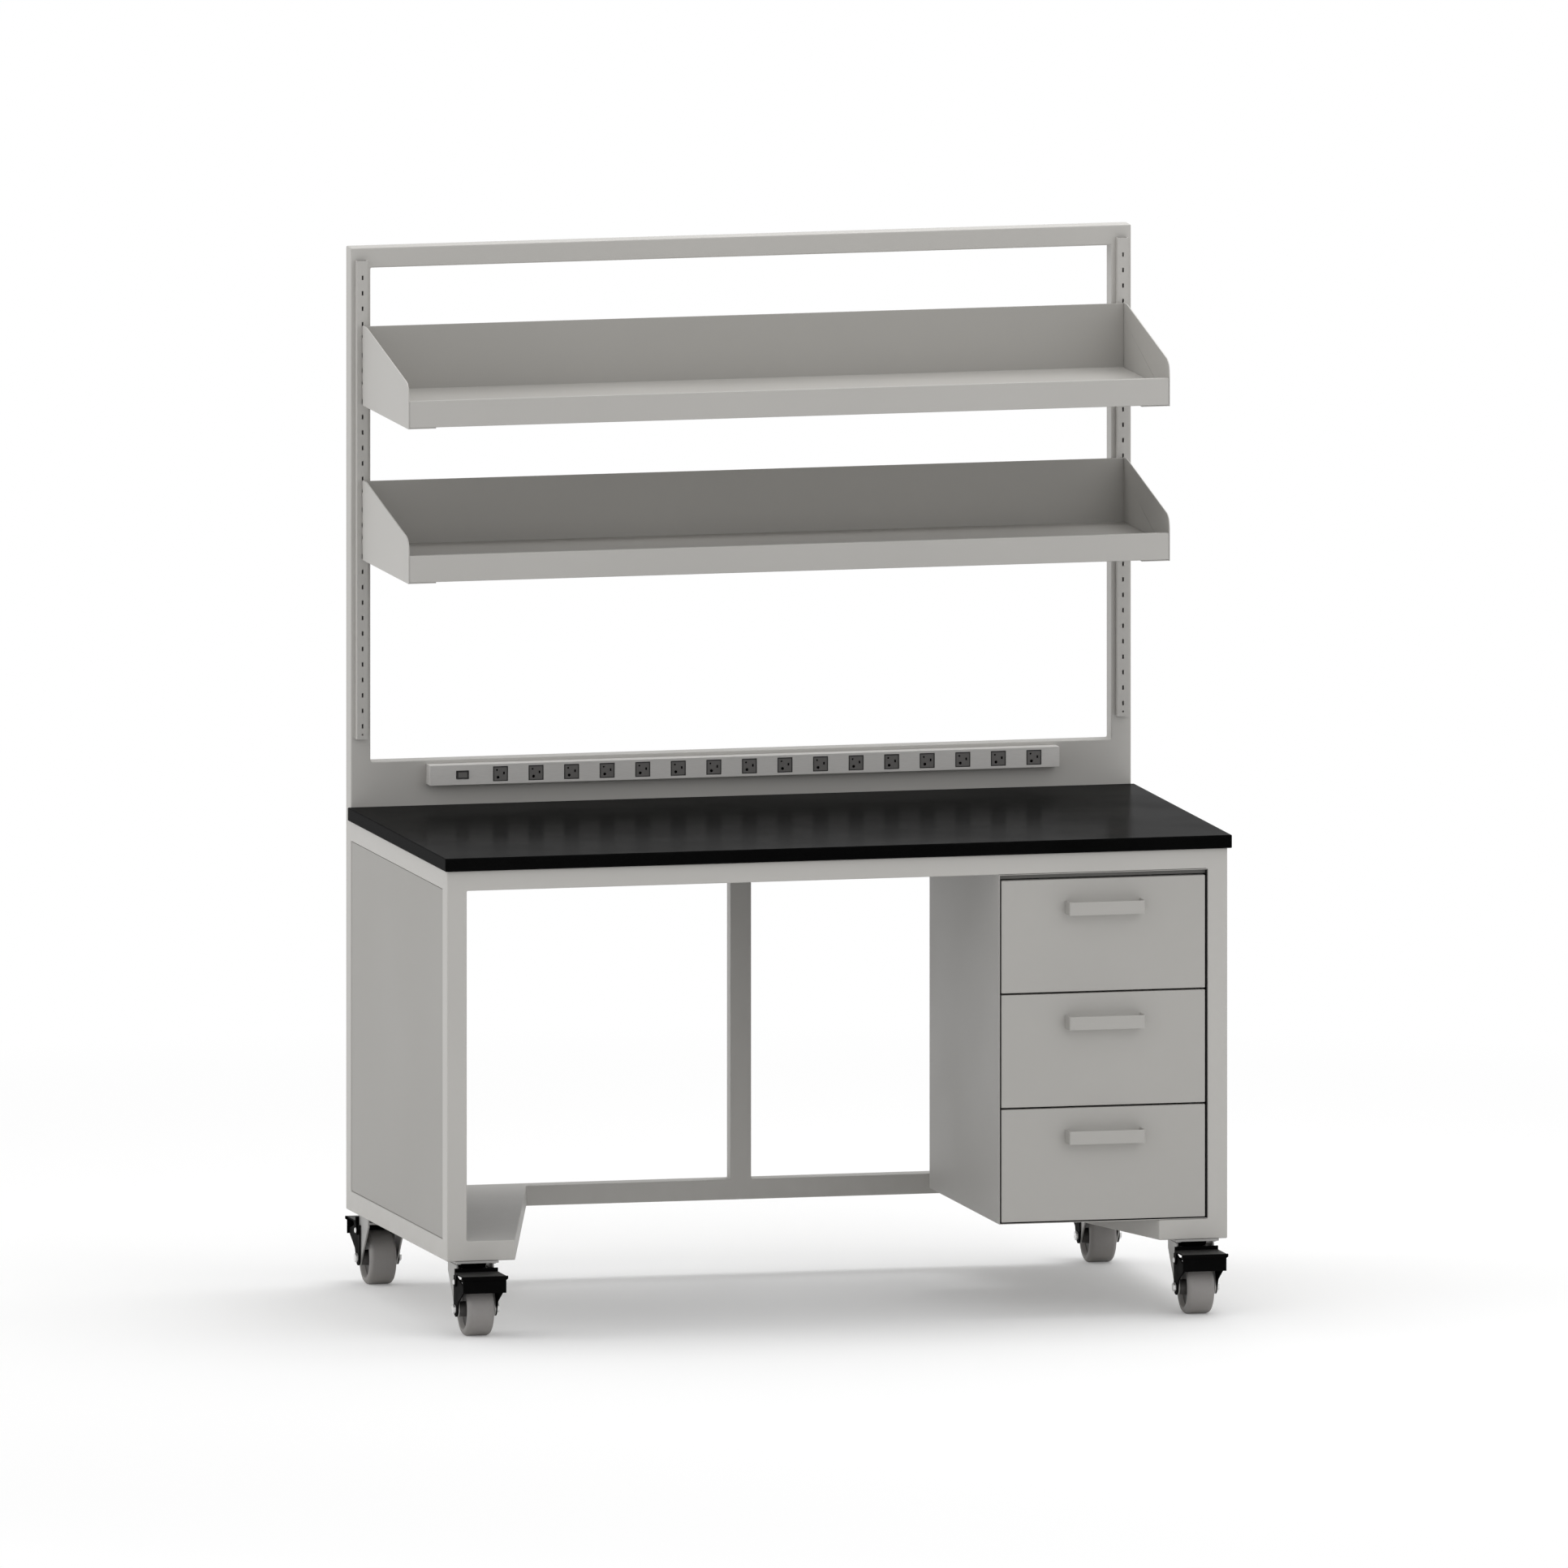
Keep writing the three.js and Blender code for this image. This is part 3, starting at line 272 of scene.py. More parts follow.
    def place(self, tree: Tree, effect: Effect, **inputs: object) -> bpy.types.bpy_prop_collection:
        """Places a group in a material.

        Args:
            tree: the material's tree.
            effect: the group to place.
            inputs: values or sockets by the group's input names.

        Returns:
            The placed group's outputs.
        """
        made = tree.node("ShaderNodeGroup", node_tree=self.groups[effect])
        for name, value in inputs.items():
            tree.put(made.inputs[name], value)
        return made.outputs


EFFECTS = Effects()
DUST_TONE = shade(150, 145, 136)
DUST_COVER = 0.35
DUST_ROUGHNESS = 0.2
BUMP_STRENGTH = 0.5


@dataclass(frozen=True)
class Finish:
    """A surface finish: its tone, its gloss and the texture of its skin.

    Attributes:
        name: the material's name.
        slot: the record's material slot; not used.
        colour: linear base colour.
        roughness: middle roughness, and how far it drifts.
        metallic: share of bare metal.
        grain: grain size as noise scale per metre.
        relief: height of the grain in metres.
        speckle: how much the grain changes the tone.
        drift: slow tone change, as a share, and its noise scale.
        dust: reach of floor dust in metres, 0 for none.
        stretch: how the grain is drawn out along X, Y and Z.
        specular: strength of the gloss on a surface that isn't metal.
    """

    name: str
    slot: str
    colour: Colour
    roughness: tuple[float, float] = (0.45, 0.06)
    metallic: float = 0.0
    grain: float = 900.0
    relief: float = 0.00006
    speckle: float = 0.03
    drift: tuple[float, float] = (0.02, 3.0)
    dust: float = 0.0
    stretch: Point = EVEN
    specular: float = 0.5

    def material(self) -> bpy.types.Material:
        """The finish's material, made on first use.

        Returns:
            A node material that reads Object coordinates.
        """
        known = bpy.data.materials.get(self.name)
        if known:
            return known
        made = bpy.data.materials.new(self.name)
        made.use_nodes = True
        self._fill(Tree(made.node_tree))
        return made

    def _fill(self, tree: Tree) -> None:
        """Builds the shader.

        Args:
            tree: the material's tree.
        """
        place = tree.node("ShaderNodeTexCoord").outputs["Object"]
        drawn = place
        if self.stretch != EVEN:
            drawn = tree.node("ShaderNodeMapping", {"Vector": place, "Scale": self.stretch}).outputs[0]
        grain = EFFECTS.place(tree, Effect.GRAIN, Vector=drawn, Scale=self.grain)
        amount, scale = self.drift
        tone = EFFECTS.place(tree, Effect.DRIFT, Vector=place, Base=self.colour, Scale=scale, Amount=amount)
        flecks = tree.mix(grain["Speckle"], (1 - self.speckle,) * 3, WHITE)
        colour = tree.mix(1.0, tone["Colour"], flecks, "MULTIPLY")
        middle, swing = self.roughness
        rough = tree.ranged(tone["Share"], 0.0, 1.0, middle - swing, middle + swing)
        if self.dust:
            film = EFFECTS.place(tree, Effect.DUST, Vector=place, Reach=self.dust)["Mask"]
            share = tree.maths("MULTIPLY", film, DUST_COVER)
            colour = tree.mix(share, colour, DUST_TONE)
            rough = tree.maths("ADD", rough, tree.maths("MULTIPLY", film, DUST_ROUGHNESS))
        colour = self.wear(tree, place, colour)
        relief = {"Strength": BUMP_STRENGTH, "Distance": self.relief, "Height": grain["Height"]}
        bump = tree.node("ShaderNodeBump", relief)
        shader = tree.node(
            "ShaderNodeBsdfPrincipled",
            {
                "Base Color": colour,
                "Roughness": rough,
                "Metallic": self.metallic,
                "Specular IOR Level": self.specular,
                "Normal": bump.outputs[0],
            },
        )
        tree.node("ShaderNodeOutputMaterial", {"Surface": shader.outputs[0]})

    def wear(self, tree: Tree, place: object, colour: object) -> object:
        """The colour after handling; a plain finish keeps it."""
        return colour


@dataclass(frozen=True)
class WornFinish(Finish):
    """A finish that is rubbed along the edges of one box-shaped piece.

    Attributes:
        low: lowest corner of the piece.
        high: highest corner of the piece.
        width: width of the rubbed band.
        rubbed: linear colour that shows there.
        share: how strongly it shows.
    """

    low: Point = (0.0, 0.0, 0.0)
    high: Point = (0.0, 0.0, 0.0)
    width: float = 0.004
    rubbed: Colour = (0.5, 0.5, 0.5)
    share: float = 0.4

    def wear(self, tree: Tree, place: object, colour: object) -> object:
        """The colour with the rubbed band mixed in.

        Args:
            tree: the material's tree.
            place: Object coordinates.
            colour: the colour before handling.

        Returns:
            The mixed colour.
        """
        box = {"Low": self.low, "High": self.high, "Width": self.width}
        band = EFFECTS.place(tree, Effect.EDGES, Vector=place, **box)["Mask"]
        return tree.mix(tree.maths("MULTIPLY", band, self.share), colour, self.rubbed)


COAT = Finish("grey_powder_coat", "powder_coat", shade(187, 185, 181), (0.46, 0.05), dust=0.2)
SHELF_COAT = Finish("shelf_powder_coat", "powder_coat", shade(184, 182, 178), (0.46, 0.05))
# darker tone of the trays' insides and the brackets' inner faces is painted shade
SHELF_SHADED_LINING = Finish("shelf_inside_painted_shade", "powder_coat", shade(170, 168, 164), (0.55, 0.05), specular=0.3)
# the side panels' darker tone is painted shade on the same grey coat
PANEL_SHADED_COAT = Finish("panel_coat_painted_shade", "powder_coat", shade(161, 159, 155), (0.5, 0.05), specular=0.3)
CABINET_COAT = Finish("cabinet_powder_coat", "cabinet_coat", shade(174, 172, 168), (0.47, 0.05))
# near-black inside of the shell is painted shade of the gap beside and behind the drawers
CABINET_PAINTED_SHADE = Finish("cabinet_inside_painted_shade", "cabinet_coat", shade(34, 34, 33), (0.6, 0.05), specular=0.2)
# the header's darker tone is painted shade of its recess
HEADER_SHADED_COAT = Finish("header_coat_painted_shade", "cabinet_coat", shade(122, 121, 118), (0.5, 0.05), specular=0.3)
HANDLE_COAT = Finish("handle_powder_coat", "powder_coat", shade(174, 172, 168), (0.44, 0.05))
DRAWER_STEEL = Finish(
    "drawer_sheet_steel", "zinc_steel", shade(178, 177, 174), (0.4, 0.06), metallic=0.15, grain=300.0,
    relief=0.00003, speckle=0.08, drift=(0.04, 12.0),
)
LAMINATE = Finish(
    "black_laminate", "worktop", shade(14, 14, 14), (0.2, 0.04), grain=420.0, relief=0.00004,
    speckle=0.6, drift=(0.2, 6.0), specular=0.0018,
)
ANODISED = Finish(
    "anodised_profile", "rail_housing", shade(212, 210, 207), (0.42, 0.04), metallic=0.1,
    grain=700.0, relief=0.00003, speckle=0.08, stretch=(0.03, 1.0, 1.0),
)
MOULDING = Finish(
    "socket_moulding_skin", "socket_moulding", shade(108, 106, 104), (0.5, 0.05), grain=1500.0,
    speckle=0.15,
)
DARK_MOULDING = Finish(
    "socket_rim_skin", "socket_moulding", shade(42, 41, 40), (0.5, 0.05), grain=1500.0, speckle=0.1,
)
# near-black inside the pin holes is painted shade
PIN_HOLE_SHADE = Finish("contact_recess_painted_shade", "socket_moulding", shade(6, 6, 6), (0.7, 0.05), specular=0.05)
ZINC = Finish(
    "zinc_plate", "zinc_steel", shade(168, 167, 165), (0.42, 0.08), metallic=0.6, grain=260.0,
    relief=0.00003, speckle=0.14, drift=(0.05, 18.0), dust=0.12,
)
BRIGHT_ZINC = Finish(
    "bright_fastener", "zinc_steel", shade(232, 232, 231), (0.28, 0.06), metallic=0.6, grain=500.0,
    relief=0.00002, speckle=0.06,
)
BLACK_STEEL = Finish(
    "black_pressed_steel", "brake_black", shade(17, 17, 17), (0.45, 0.08), grain=650.0, relief=0.00012,
    speckle=0.9, drift=(0.15, 30.0), specular=0.006,
)
PEDAL_TREAD = Finish(
    "pale_pedal_top", "brake_black", shade(50, 50, 49), (0.5, 0.08), grain=420.0, relief=0.0002,
    speckle=0.4, drift=(0.25, 60.0), specular=0.3,
)
TYRE = Finish(
    "grey_tyre", "wheel_grey", shade(146, 143, 141), (0.62, 0.06), grain=800.0, relief=0.0001,
    speckle=0.12, drift=(0.06, 25.0), dust=0.05,
)
WHEEL_CORE = Finish(
    "wheel_core_plastic", "wheel_grey", shade(74, 72, 70), (0.5, 0.06), grain=900.0, speckle=0.1,
)


class Maker:
    """Hand operations on one mesh at a time."""

    @staticmethod
    def alone(piece: Obj) -> None:
        """Selects one object and nothing else, in object mode.

        Args:
            piece: the object.
        """
        if bpy.context.mode != "OBJECT":
            bpy.ops.object.mode_set(mode="OBJECT")
        bpy.ops.object.select_all(action="DESELECT")
        piece.select_set(True)
        bpy.context.view_layer.objects.active = piece

    @staticmethod
    @contextmanager
    def editing(piece: Obj, mode: str = "FACE") -> Iterator[None]:
        """Edit mode on one object, with its selection kept from object mode.

        Args:
            piece: the object to edit.
            mode: VERT, EDGE or FACE.

        Yields:
            Nothing; edit mode ends with the block.
        """
        Maker.alone(piece)
        bpy.context.tool_settings.mesh_select_mode = tuple(mode == m for m in ("VERT", "EDGE", "FACE"))
        bpy.ops.object.mode_set(mode="EDIT")
        yield
        bpy.ops.object.mode_set(mode="OBJECT")

    @staticmethod
    def unpick(piece: Obj) -> None:
        """Clears the mesh selection."""
        for group in (piece.data.vertices, piece.data.edges, piece.data.polygons):
            group.foreach_set("select", [False] * len(group))

    @staticmethod
    def pick_faces(piece: Obj, test: Callable[[Face], bool]) -> None:
        """Selects the faces that pass a test.

        Args:
            piece: the object.
            test: says of a face whether it is chosen.
        """
        Maker.unpick(piece)
        for face in piece.data.polygons:
            face.select = test(face)

    @staticmethod
    def name(piece: Obj, name: str) -> Obj:
        """Names an object and its mesh."""
        piece.name = piece.data.name = name
        return piece

    @staticmethod
    def snap(piece: Obj) -> None:
        """Puts every vertex on a decimal grid, so that flush faces are exactly flush."""
        for vertex in piece.data.vertices:
            vertex.co = [round(value, GRID_DIGITS) for value in vertex.co]

    @staticmethod
    def block(name: str, low: Vector | Point, high: Vector | Point) -> Obj:
        """A box between two corners, as the start of a piece.

        Args:
            name: the piece's name.
            low: its lowest corner.
            high: its highest corner.

        Returns:
            The box.
        """
        bpy.ops.object.select_all(action="DESELECT")
        bpy.ops.mesh.primitive_cube_add(size=1, location=(Vector(low) + Vector(high)) / 2)
        piece = Maker.name(bpy.context.object, name)
        piece.scale = Vector(high) - Vector(low)
        Maker.alone(piece)
        bpy.ops.object.transform_apply(location=True, rotation=True, scale=True)
        return piece

    @staticmethod
    def prism(name: str, outline: list[tuple[float, float]], axis: Axis, start: float, end: float) -> Obj:
        """A flat outline that is extruded along an axis.

        Args:
            name: the piece's name.
            outline: points in the profile's two axes, in order.
            axis: the direction of the extrusion.
            start: where it begins on that axis.
            end: where it ends.

        Returns:
            A closed prism.
        """
        bpy.ops.object.select_all(action="DESELECT")
        bpy.ops.mesh.primitive_circle_add(vertices=len(outline), fill_type="NGON")
        piece = Maker.name(bpy.context.object, name)
        along, first, second = axis.value
        for vertex, (a, b) in zip(piece.data.vertices, outline):
            vertex.co[along], vertex.co[first], vertex.co[second] = start, a, b
        shift = [0.0, 0.0, 0.0]
        shift[along] = end - start
        with Maker.editing(piece):
            bpy.ops.mesh.select_all(action="SELECT")
            bpy.ops.mesh.extrude_region_move(TRANSFORM_OT_translate={"value": shift})
            bpy.ops.mesh.select_all(action="SELECT")
            bpy.ops.mesh.normals_make_consistent(inside=False)
        return piece

    @staticmethod
    def spun(name: str, profile: list[tuple[float, float]], axis: Axis, centre: Point, steps: int) -> Obj:
        """A closed profile of radius and height, spun a full turn.

        Args:
            name: the piece's name.
            profile: radius and height pairs, in order, as a closed loop.
            axis: the axis that it turns round.
            centre: the point on the axis where the height is 0.
            steps: steps of the turn.

        Returns:
            A closed ring or disc.
        """
        bpy.ops.object.select_all(action="DESELECT")
        bpy.ops.mesh.primitive_circle_add(vertices=len(profile), fill_type="NOTHING")
        piece = Maker.name(bpy.context.object, name)
        along, first, _ = axis.value
        for vertex, (radius, height) in zip(piece.data.vertices, profile):
            point = Vector(centre)
            point[first] += radius
            point[along] += height
            vertex.co = point
        piece.location = (0, 0, 0)
        turn = [0.0, 0.0, 0.0]
        turn[along] = 1.0
        with Maker.editing(piece, "VERT"):
            bpy.ops.mesh.select_all(action="SELECT")
            bpy.ops.mesh.spin(steps=steps, angle=math.tau, center=centre, axis=turn)
            bpy.ops.mesh.select_all(action="SELECT")
            bpy.ops.mesh.remove_doubles(threshold=SPIN_MERGE)
            bpy.ops.mesh.normals_make_consistent(inside=False)
        return piece

    @staticmethod
    def bevel(piece: Obj, radius: float, segments: int, test: Callable[[Vector, Vector], bool]) -> None:
        """Rounds the chosen edges in edit mode.

        Args:
            piece: the object.
            radius: radius of the rounding.
            segments: segments of the rounding.
            test: says of an edge's two ends whether it is chosen.
        """
        Maker.unpick(piece)
        points = piece.data.vertices
        for edge in piece.data.edges:
            edge.select = test(*(points[index].co for index in edge.vertices))
        with Maker.editing(piece, "EDGE"):
            bpy.ops.mesh.bevel(offset=radius, segments=segments, affect="EDGES", clamp_overlap=True)

    @staticmethod
    def modify(piece: Obj, kind: str, **settings: object) -> Obj:
        """Adds a modifier with its settings and applies it.

        Args:
            piece: the object.
            kind: the modifier's type name.
            settings: its settings.

        Returns:
            The same object.
        """
        Maker.alone(piece)
        bpy.ops.object.modifier_add(type=kind)
        modifier = piece.modifiers[-1]
        for key, value in settings.items():
            setattr(modifier, key, value)
        bpy.ops.object.modifier_apply(modifier=modifier.name)
        return piece

    @staticmethod
    def soften(piece: Obj, radius: float, segments: int = 2) -> Obj:
        """Rounds every sharp edge a little, and keeps the flats flat.

        Args:
            piece: the object.
            radius: radius of the rounding.
            segments: segments of the rounding.

        Returns:
            The same object.
        """
        Maker.modify(
            piece, "BEVEL", width=radius, segments=segments, limit_method="ANGLE",
            angle_limit=SHARP_EDGE, use_clamp_overlap=True, miter_outer="MITER_ARC",
        )
        with Maker.editing(piece):
            bpy.ops.mesh.select_all(action="SELECT")
            bpy.ops.mesh.dissolve_degenerate(threshold=MERGE)
        return Maker.smooth(piece)

    @staticmethod
    def smooth(piece: Obj, degrees: float = 50.0) -> Obj:
        """Smooth shading on rounds with flat faces left flat.

        Args:
            piece: the object.
            degrees: angle above which an edge stays sharp.

        Returns:
            The same object.
        """
        Maker.alone(piece)
        bpy.ops.object.shade_smooth_by_angle(angle=math.radians(degrees))
        return Maker.modify(piece, "WEIGHTED_NORMAL", keep_sharp=True, weight=FLAT_WEIGHT)

    @staticmethod
    def merged_copy(node: str) -> Obj:
        """A copy of a CAD node with its loose triangles merged into clean faces.

        Args:
            node: the CAD node.

        Returns:
            The copy, without materials.
        """
        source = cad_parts[node]
        piece = Maker.name(bpy.data.objects.new(node, source.data.copy()), f"{node}_finished")
        piece.data.materials.clear()
        bpy.context.scene.collection.objects.link(piece)
        Maker.alone(piece)
        if piece.data.has_custom_normals:
            bpy.ops.mesh.customdata_custom_splitnormals_clear()
        with Maker.editing(piece):
            bpy.ops.mesh.select_all(action="SELECT")
            bpy.ops.mesh.remove_doubles(threshold=MERGE)
        return piece

    @staticmethod
    def finished(node: str, radius: float, segments: int = 2) -> Obj:
        """A merged copy of a CAD node with its edges rounded."""
        return Maker.soften(Maker.merged_copy(node), radius, segments)

    @staticmethod
    def joined(name: str, pieces: list[Obj]) -> Obj:
        """Several objects as one.

        Args:
            name: the piece's name.
            pieces: the objects to join.

        Returns:
            The joined object.
        """
        Maker.alone(pieces[0])
        for piece in pieces[1:]:
            piece.select_set(True)
        bpy.ops.object.join()
        return Maker.name(bpy.context.object, name)

    @staticmethod
    def weld(piece: Obj, other: Obj) -> Obj:
        """Unites a piece with another object, which is used up.

        Args:
            piece: the object that stays.
            other: the object that is added to it.

        Returns:
            The first object.
        """
        Maker.modify(piece, "BOOLEAN", object=other, operation="UNION", solver="MANIFOLD")
        bpy.data.objects.remove(other)
        return piece


def mount(
    piece: Obj, body: str, finish: Finish, *nodes: str, second: Finish | None = None,
    pick: Callable[[Face], bool] | None = None,
) -> None:
    """Dresses a piece, and lets it ride on a body and stand for CAD nodes.

    Args:
        piece: the object.
        body: the body that it rides on.
        finish: its finish.
        nodes: the CAD nodes that it stands for.
        second: a finish for some of its faces.
        pick: says of a face whether it takes the second finish.
    """
    piece.data.materials.clear()
    for layer in filter(None, (finish, second)):
        piece.data.materials.append(layer.material())
    for face in piece.data.polygons:
        face.material_index = int(pick(face)) if pick else 0
    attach(piece, body)
    if nodes:
        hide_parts(*nodes)
    LOG.info("%s rides on %s with %d faces", piece.name, body, len(piece.data.polygons))


def softened(node: str, body: str, finish: Finish, radius: float, segments: int = 2) -> None:
    """Puts a CAD node with its edges rounded in place of the node."""
    mount(Maker.finished(node, radius, segments), body, finish, node)


@dataclass
class WeldedFrame:
    """The tube frame with its two base pans, welded and ground flush before coating.

    Attributes:
        tubes: nodes of the straight members.
        overlap: how far the centre post runs into the rails.
        pan_front: width of a base pan at its front edge.
        radius: outer corner radius.
        segments: segments of a rounded corner.
        seam: distance under which the members' points are one.
        panel_edge: rounding of the infill panels' edges.
    """

    tubes: tuple[str, ...] = (
        "upright_left", "upright_right", "front_leg_left", "front_leg_right", "side_rail_left",
        "side_rail_right", "top_rail", "front_apron_rail", "rear_bottom_rail", "service_upstand",
        "rear_centre_post",
    )
    overlap: float = 0.02
    pan_front: float = 0.130
    radius: float = 0.0025
    segments: int = 3
    seam: float = 2e-5
    panel_edge: float = 0.0010

    @staticmethod
    def corners(node: str) -> tuple[Vector, Vector]:
        """A node's box on a grid of 10 micrometres, so that flush faces are flush."""
        return tuple(Vector(round(value, GRID_DIGITS) for value in corner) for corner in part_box(node))

    def member(self, node: str) -> Obj:
        """One straight member, run on through its neighbours to their far faces.

        Args:
            node: the member's node.

        Returns:
            The member as a box.
        """
        low, high = self.corners(node)
        size = high - low
        along = max(range(3), key=lambda axis: size[axis])
        if node == "rear_centre_post":
            low.z -= self.overlap
            high.z += self.overlap
        elif node.startswith("upright"):
            high.z = self.corners("top_rail")[1].z
        elif not node.startswith("front_leg"):
            low[along] = self.corners("front_leg_left")[0][along]
            high[along] = self.corners("upright_right")[1][along]
        return Maker.block(node + "_member", low, high)

    def pan(self, label: str) -> Obj:
        """One base pan as a flared box that runs on through the rear rail.

        Args:
            label: the pan's side.

        Returns:
            The pan.
        """
        low, high = self.corners(f"base_pan_{label}")
        rear = self.corners("rear_bottom_rail")[1].y
        flare = (high.x - low.x - self.pan_front) / (high.y - low.y) * (rear - low.y)
        outer, inward = (low.x, 1) if label == "left" else (high.x, -1)
        front = outer + inward * self.pan_front
        outline = [(outer, low.y), (front, low.y), (front + inward * flare, rear), (outer, rear)]
        return Maker.prism(f"base_pan_{label}_member", outline, Axis.Z, low.z, high.z)

    def build(self) -> None:
        """Welds the members into one body and adds the infill panels."""
        body, *others = [self.member(node) for node in self.tubes] + [self.pan(label) for label in SIDES]
        Maker.snap(body)
        for other in others:
            Maker.snap(other)
            Maker.weld(body, other)
        with Maker.editing(body):
            bpy.ops.mesh.select_all(action="SELECT")
            bpy.ops.mesh.remove_doubles(threshold=self.seam)
        Maker.name(body, "welded_frame")
        Maker.soften(body, self.radius, self.segments)
        mount(body, "frame", COAT, *self.tubes, "base_pan_left", "base_pan_right")
        for label in SIDES:
            # side panels in the darker tone of painted shade
            softened(f"side_panel_{label}", "frame", PANEL_SHADED_COAT, self.panel_edge)


@dataclass
class Worktop:
    """The black laminate slab with rounded arrises.

    Attributes:
        radius: arris radius.
        segments: segments of a rounded arris.
        rub_width: width of the rubbed band along the arrises.
        rub_tone: linear colour that shows there.
        rub_share: how strongly it shows.
    """

    radius: float = 0.0018
    segments: int = 4
    rub_width: float = 0.003
    rub_tone: Colour = shade(40, 40, 41)
    rub_share: float = 0.2

    def build(self) -> None:
        """Models the slab from its own box."""
        low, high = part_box("worktop")
        slab = Maker.block("worktop_slab", low, high)
        Maker.bevel(slab, self.radius, self.segments, lambda a, b: True)
        Maker.smooth(slab)
        worn = WornFinish(
            **{**asdict(LAMINATE), "name": "black_laminate_top"}, low=tuple(low), high=tuple(high),
            width=self.rub_width, rubbed=self.rub_tone, share=self.rub_share,
        )
        mount(slab, "frame", worn, "worktop")


@dataclass
class ReagentShelves:
    """Two trays on end brackets, hooked into slotted standards.

    Attributes:
        tiers: the shelves.
        bend: radius of the trays' bends.
        sheet: sheet thickness of a standard.
        margin: distance from a standard's foot to the middle of its first slot.
        pitch: distance between slots.
        slots: number of slots.
        hooked: slots that hold a bracket's hook.
        crown: half the height of a slot.
        web: half width and height of the web that shortens a free slot.
        bite: how far a web runs into the sheet above its slot.
        standard_edge: rounding of the standards' edges.
        bracket_edge: rounding of the brackets' edges.
        lean: least share of a normal along an axis for a lined face.
    """

    tiers: tuple[str, ...] = ("upper", "lower")
    bend: float = 0.0009
    sheet: float = 0.0015
    margin: float = 0.027
    pitch: float = 0.0289
    slots: int = 30
    hooked: tuple[int, ...] = (12, 15, 22, 25)
    crown: float = 0.0064
    web: tuple[float, float] = (0.002, 0.0046)
    bite: float = 0.0005
    standard_edge: float = 0.0003
    bracket_edge: float = 0.0006
    # lean: least share of a normal along an axis for a face in the darker coat of painted shade.
    lean: float = 0.7

    def standard(self, label: str) -> None:
        """A slotted standard with a short web at the top of each free slot.

        Args:
            label: the standard's side.
        """
        node = f"slotted_standard_{label}"
        low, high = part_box(node)
        half, tall = self.web
        middle = (low.x + high.x) / 2
        webs = []
        for number in range(self.slots):
            top = low.z + self.margin + number * self.pitch + self.crown
            if number not in self.hooked:
                start = (middle - half, low.y, top - tall)
                end = (middle + half, low.y + self.sheet, top + self.bite)
                webs.append(Maker.block("web", start, end))
        piece = Maker.weld(Maker.merged_copy(node), Maker.joined("webs", webs))
        mount(Maker.soften(piece, self.standard_edge), "frame", SHELF_COAT, node)

    def tray(self, tier: str) -> None:
        """A folded tray with a matt coat on its floor and on the front of its back, darker there as painted
        shade.

        Args:
            tier: the shelf.
        """
        node = f"{tier}_shelf_tray"
        low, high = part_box(node)
        middle = (low.y + high.y) / 2
        piece = Maker.finished(node, self.bend)

        def inside(face: Face) -> bool:
            """Whether a face is on the side where bottles stand."""
            back = face.normal.y < -self.lean and face.center.y > middle
            return back or (face.normal.z > self.lean and face.center.z < high.z - self.bend)

        mount(piece, f"{tier}_shelf", SHELF_COAT, node, second=SHELF_SHADED_LINING, pick=inside)

    def bracket(self, tier: str, label: str) -> None:
        """A hooked end bracket with a matt coat on its inner face, darker there as painted shade.

        Args:
            tier: the shelf.
            label: the bracket's side.
        """
        node = f"{tier}_shelf_bracket_{label}"
        inward = 1 if label == "left" else -1
        piece = Maker.finished(node, self.bracket_edge)

        def inside(face: Face) -> bool:
            """Whether a face looks towards the other bracket."""
            return face.normal.x * inward > self.lean

        mount(piece, f"{tier}_shelf", SHELF_COAT, node, second=SHELF_SHADED_LINING, pick=inside)

    def build(self) -> None:
        """Builds the standards, and each shelf with its brackets."""
        for label in SIDES:
            self.standard(label)
        for tier in self.tiers:
            self.tray(tier)
            for label in SIDES:
                self.bracket(tier, label)


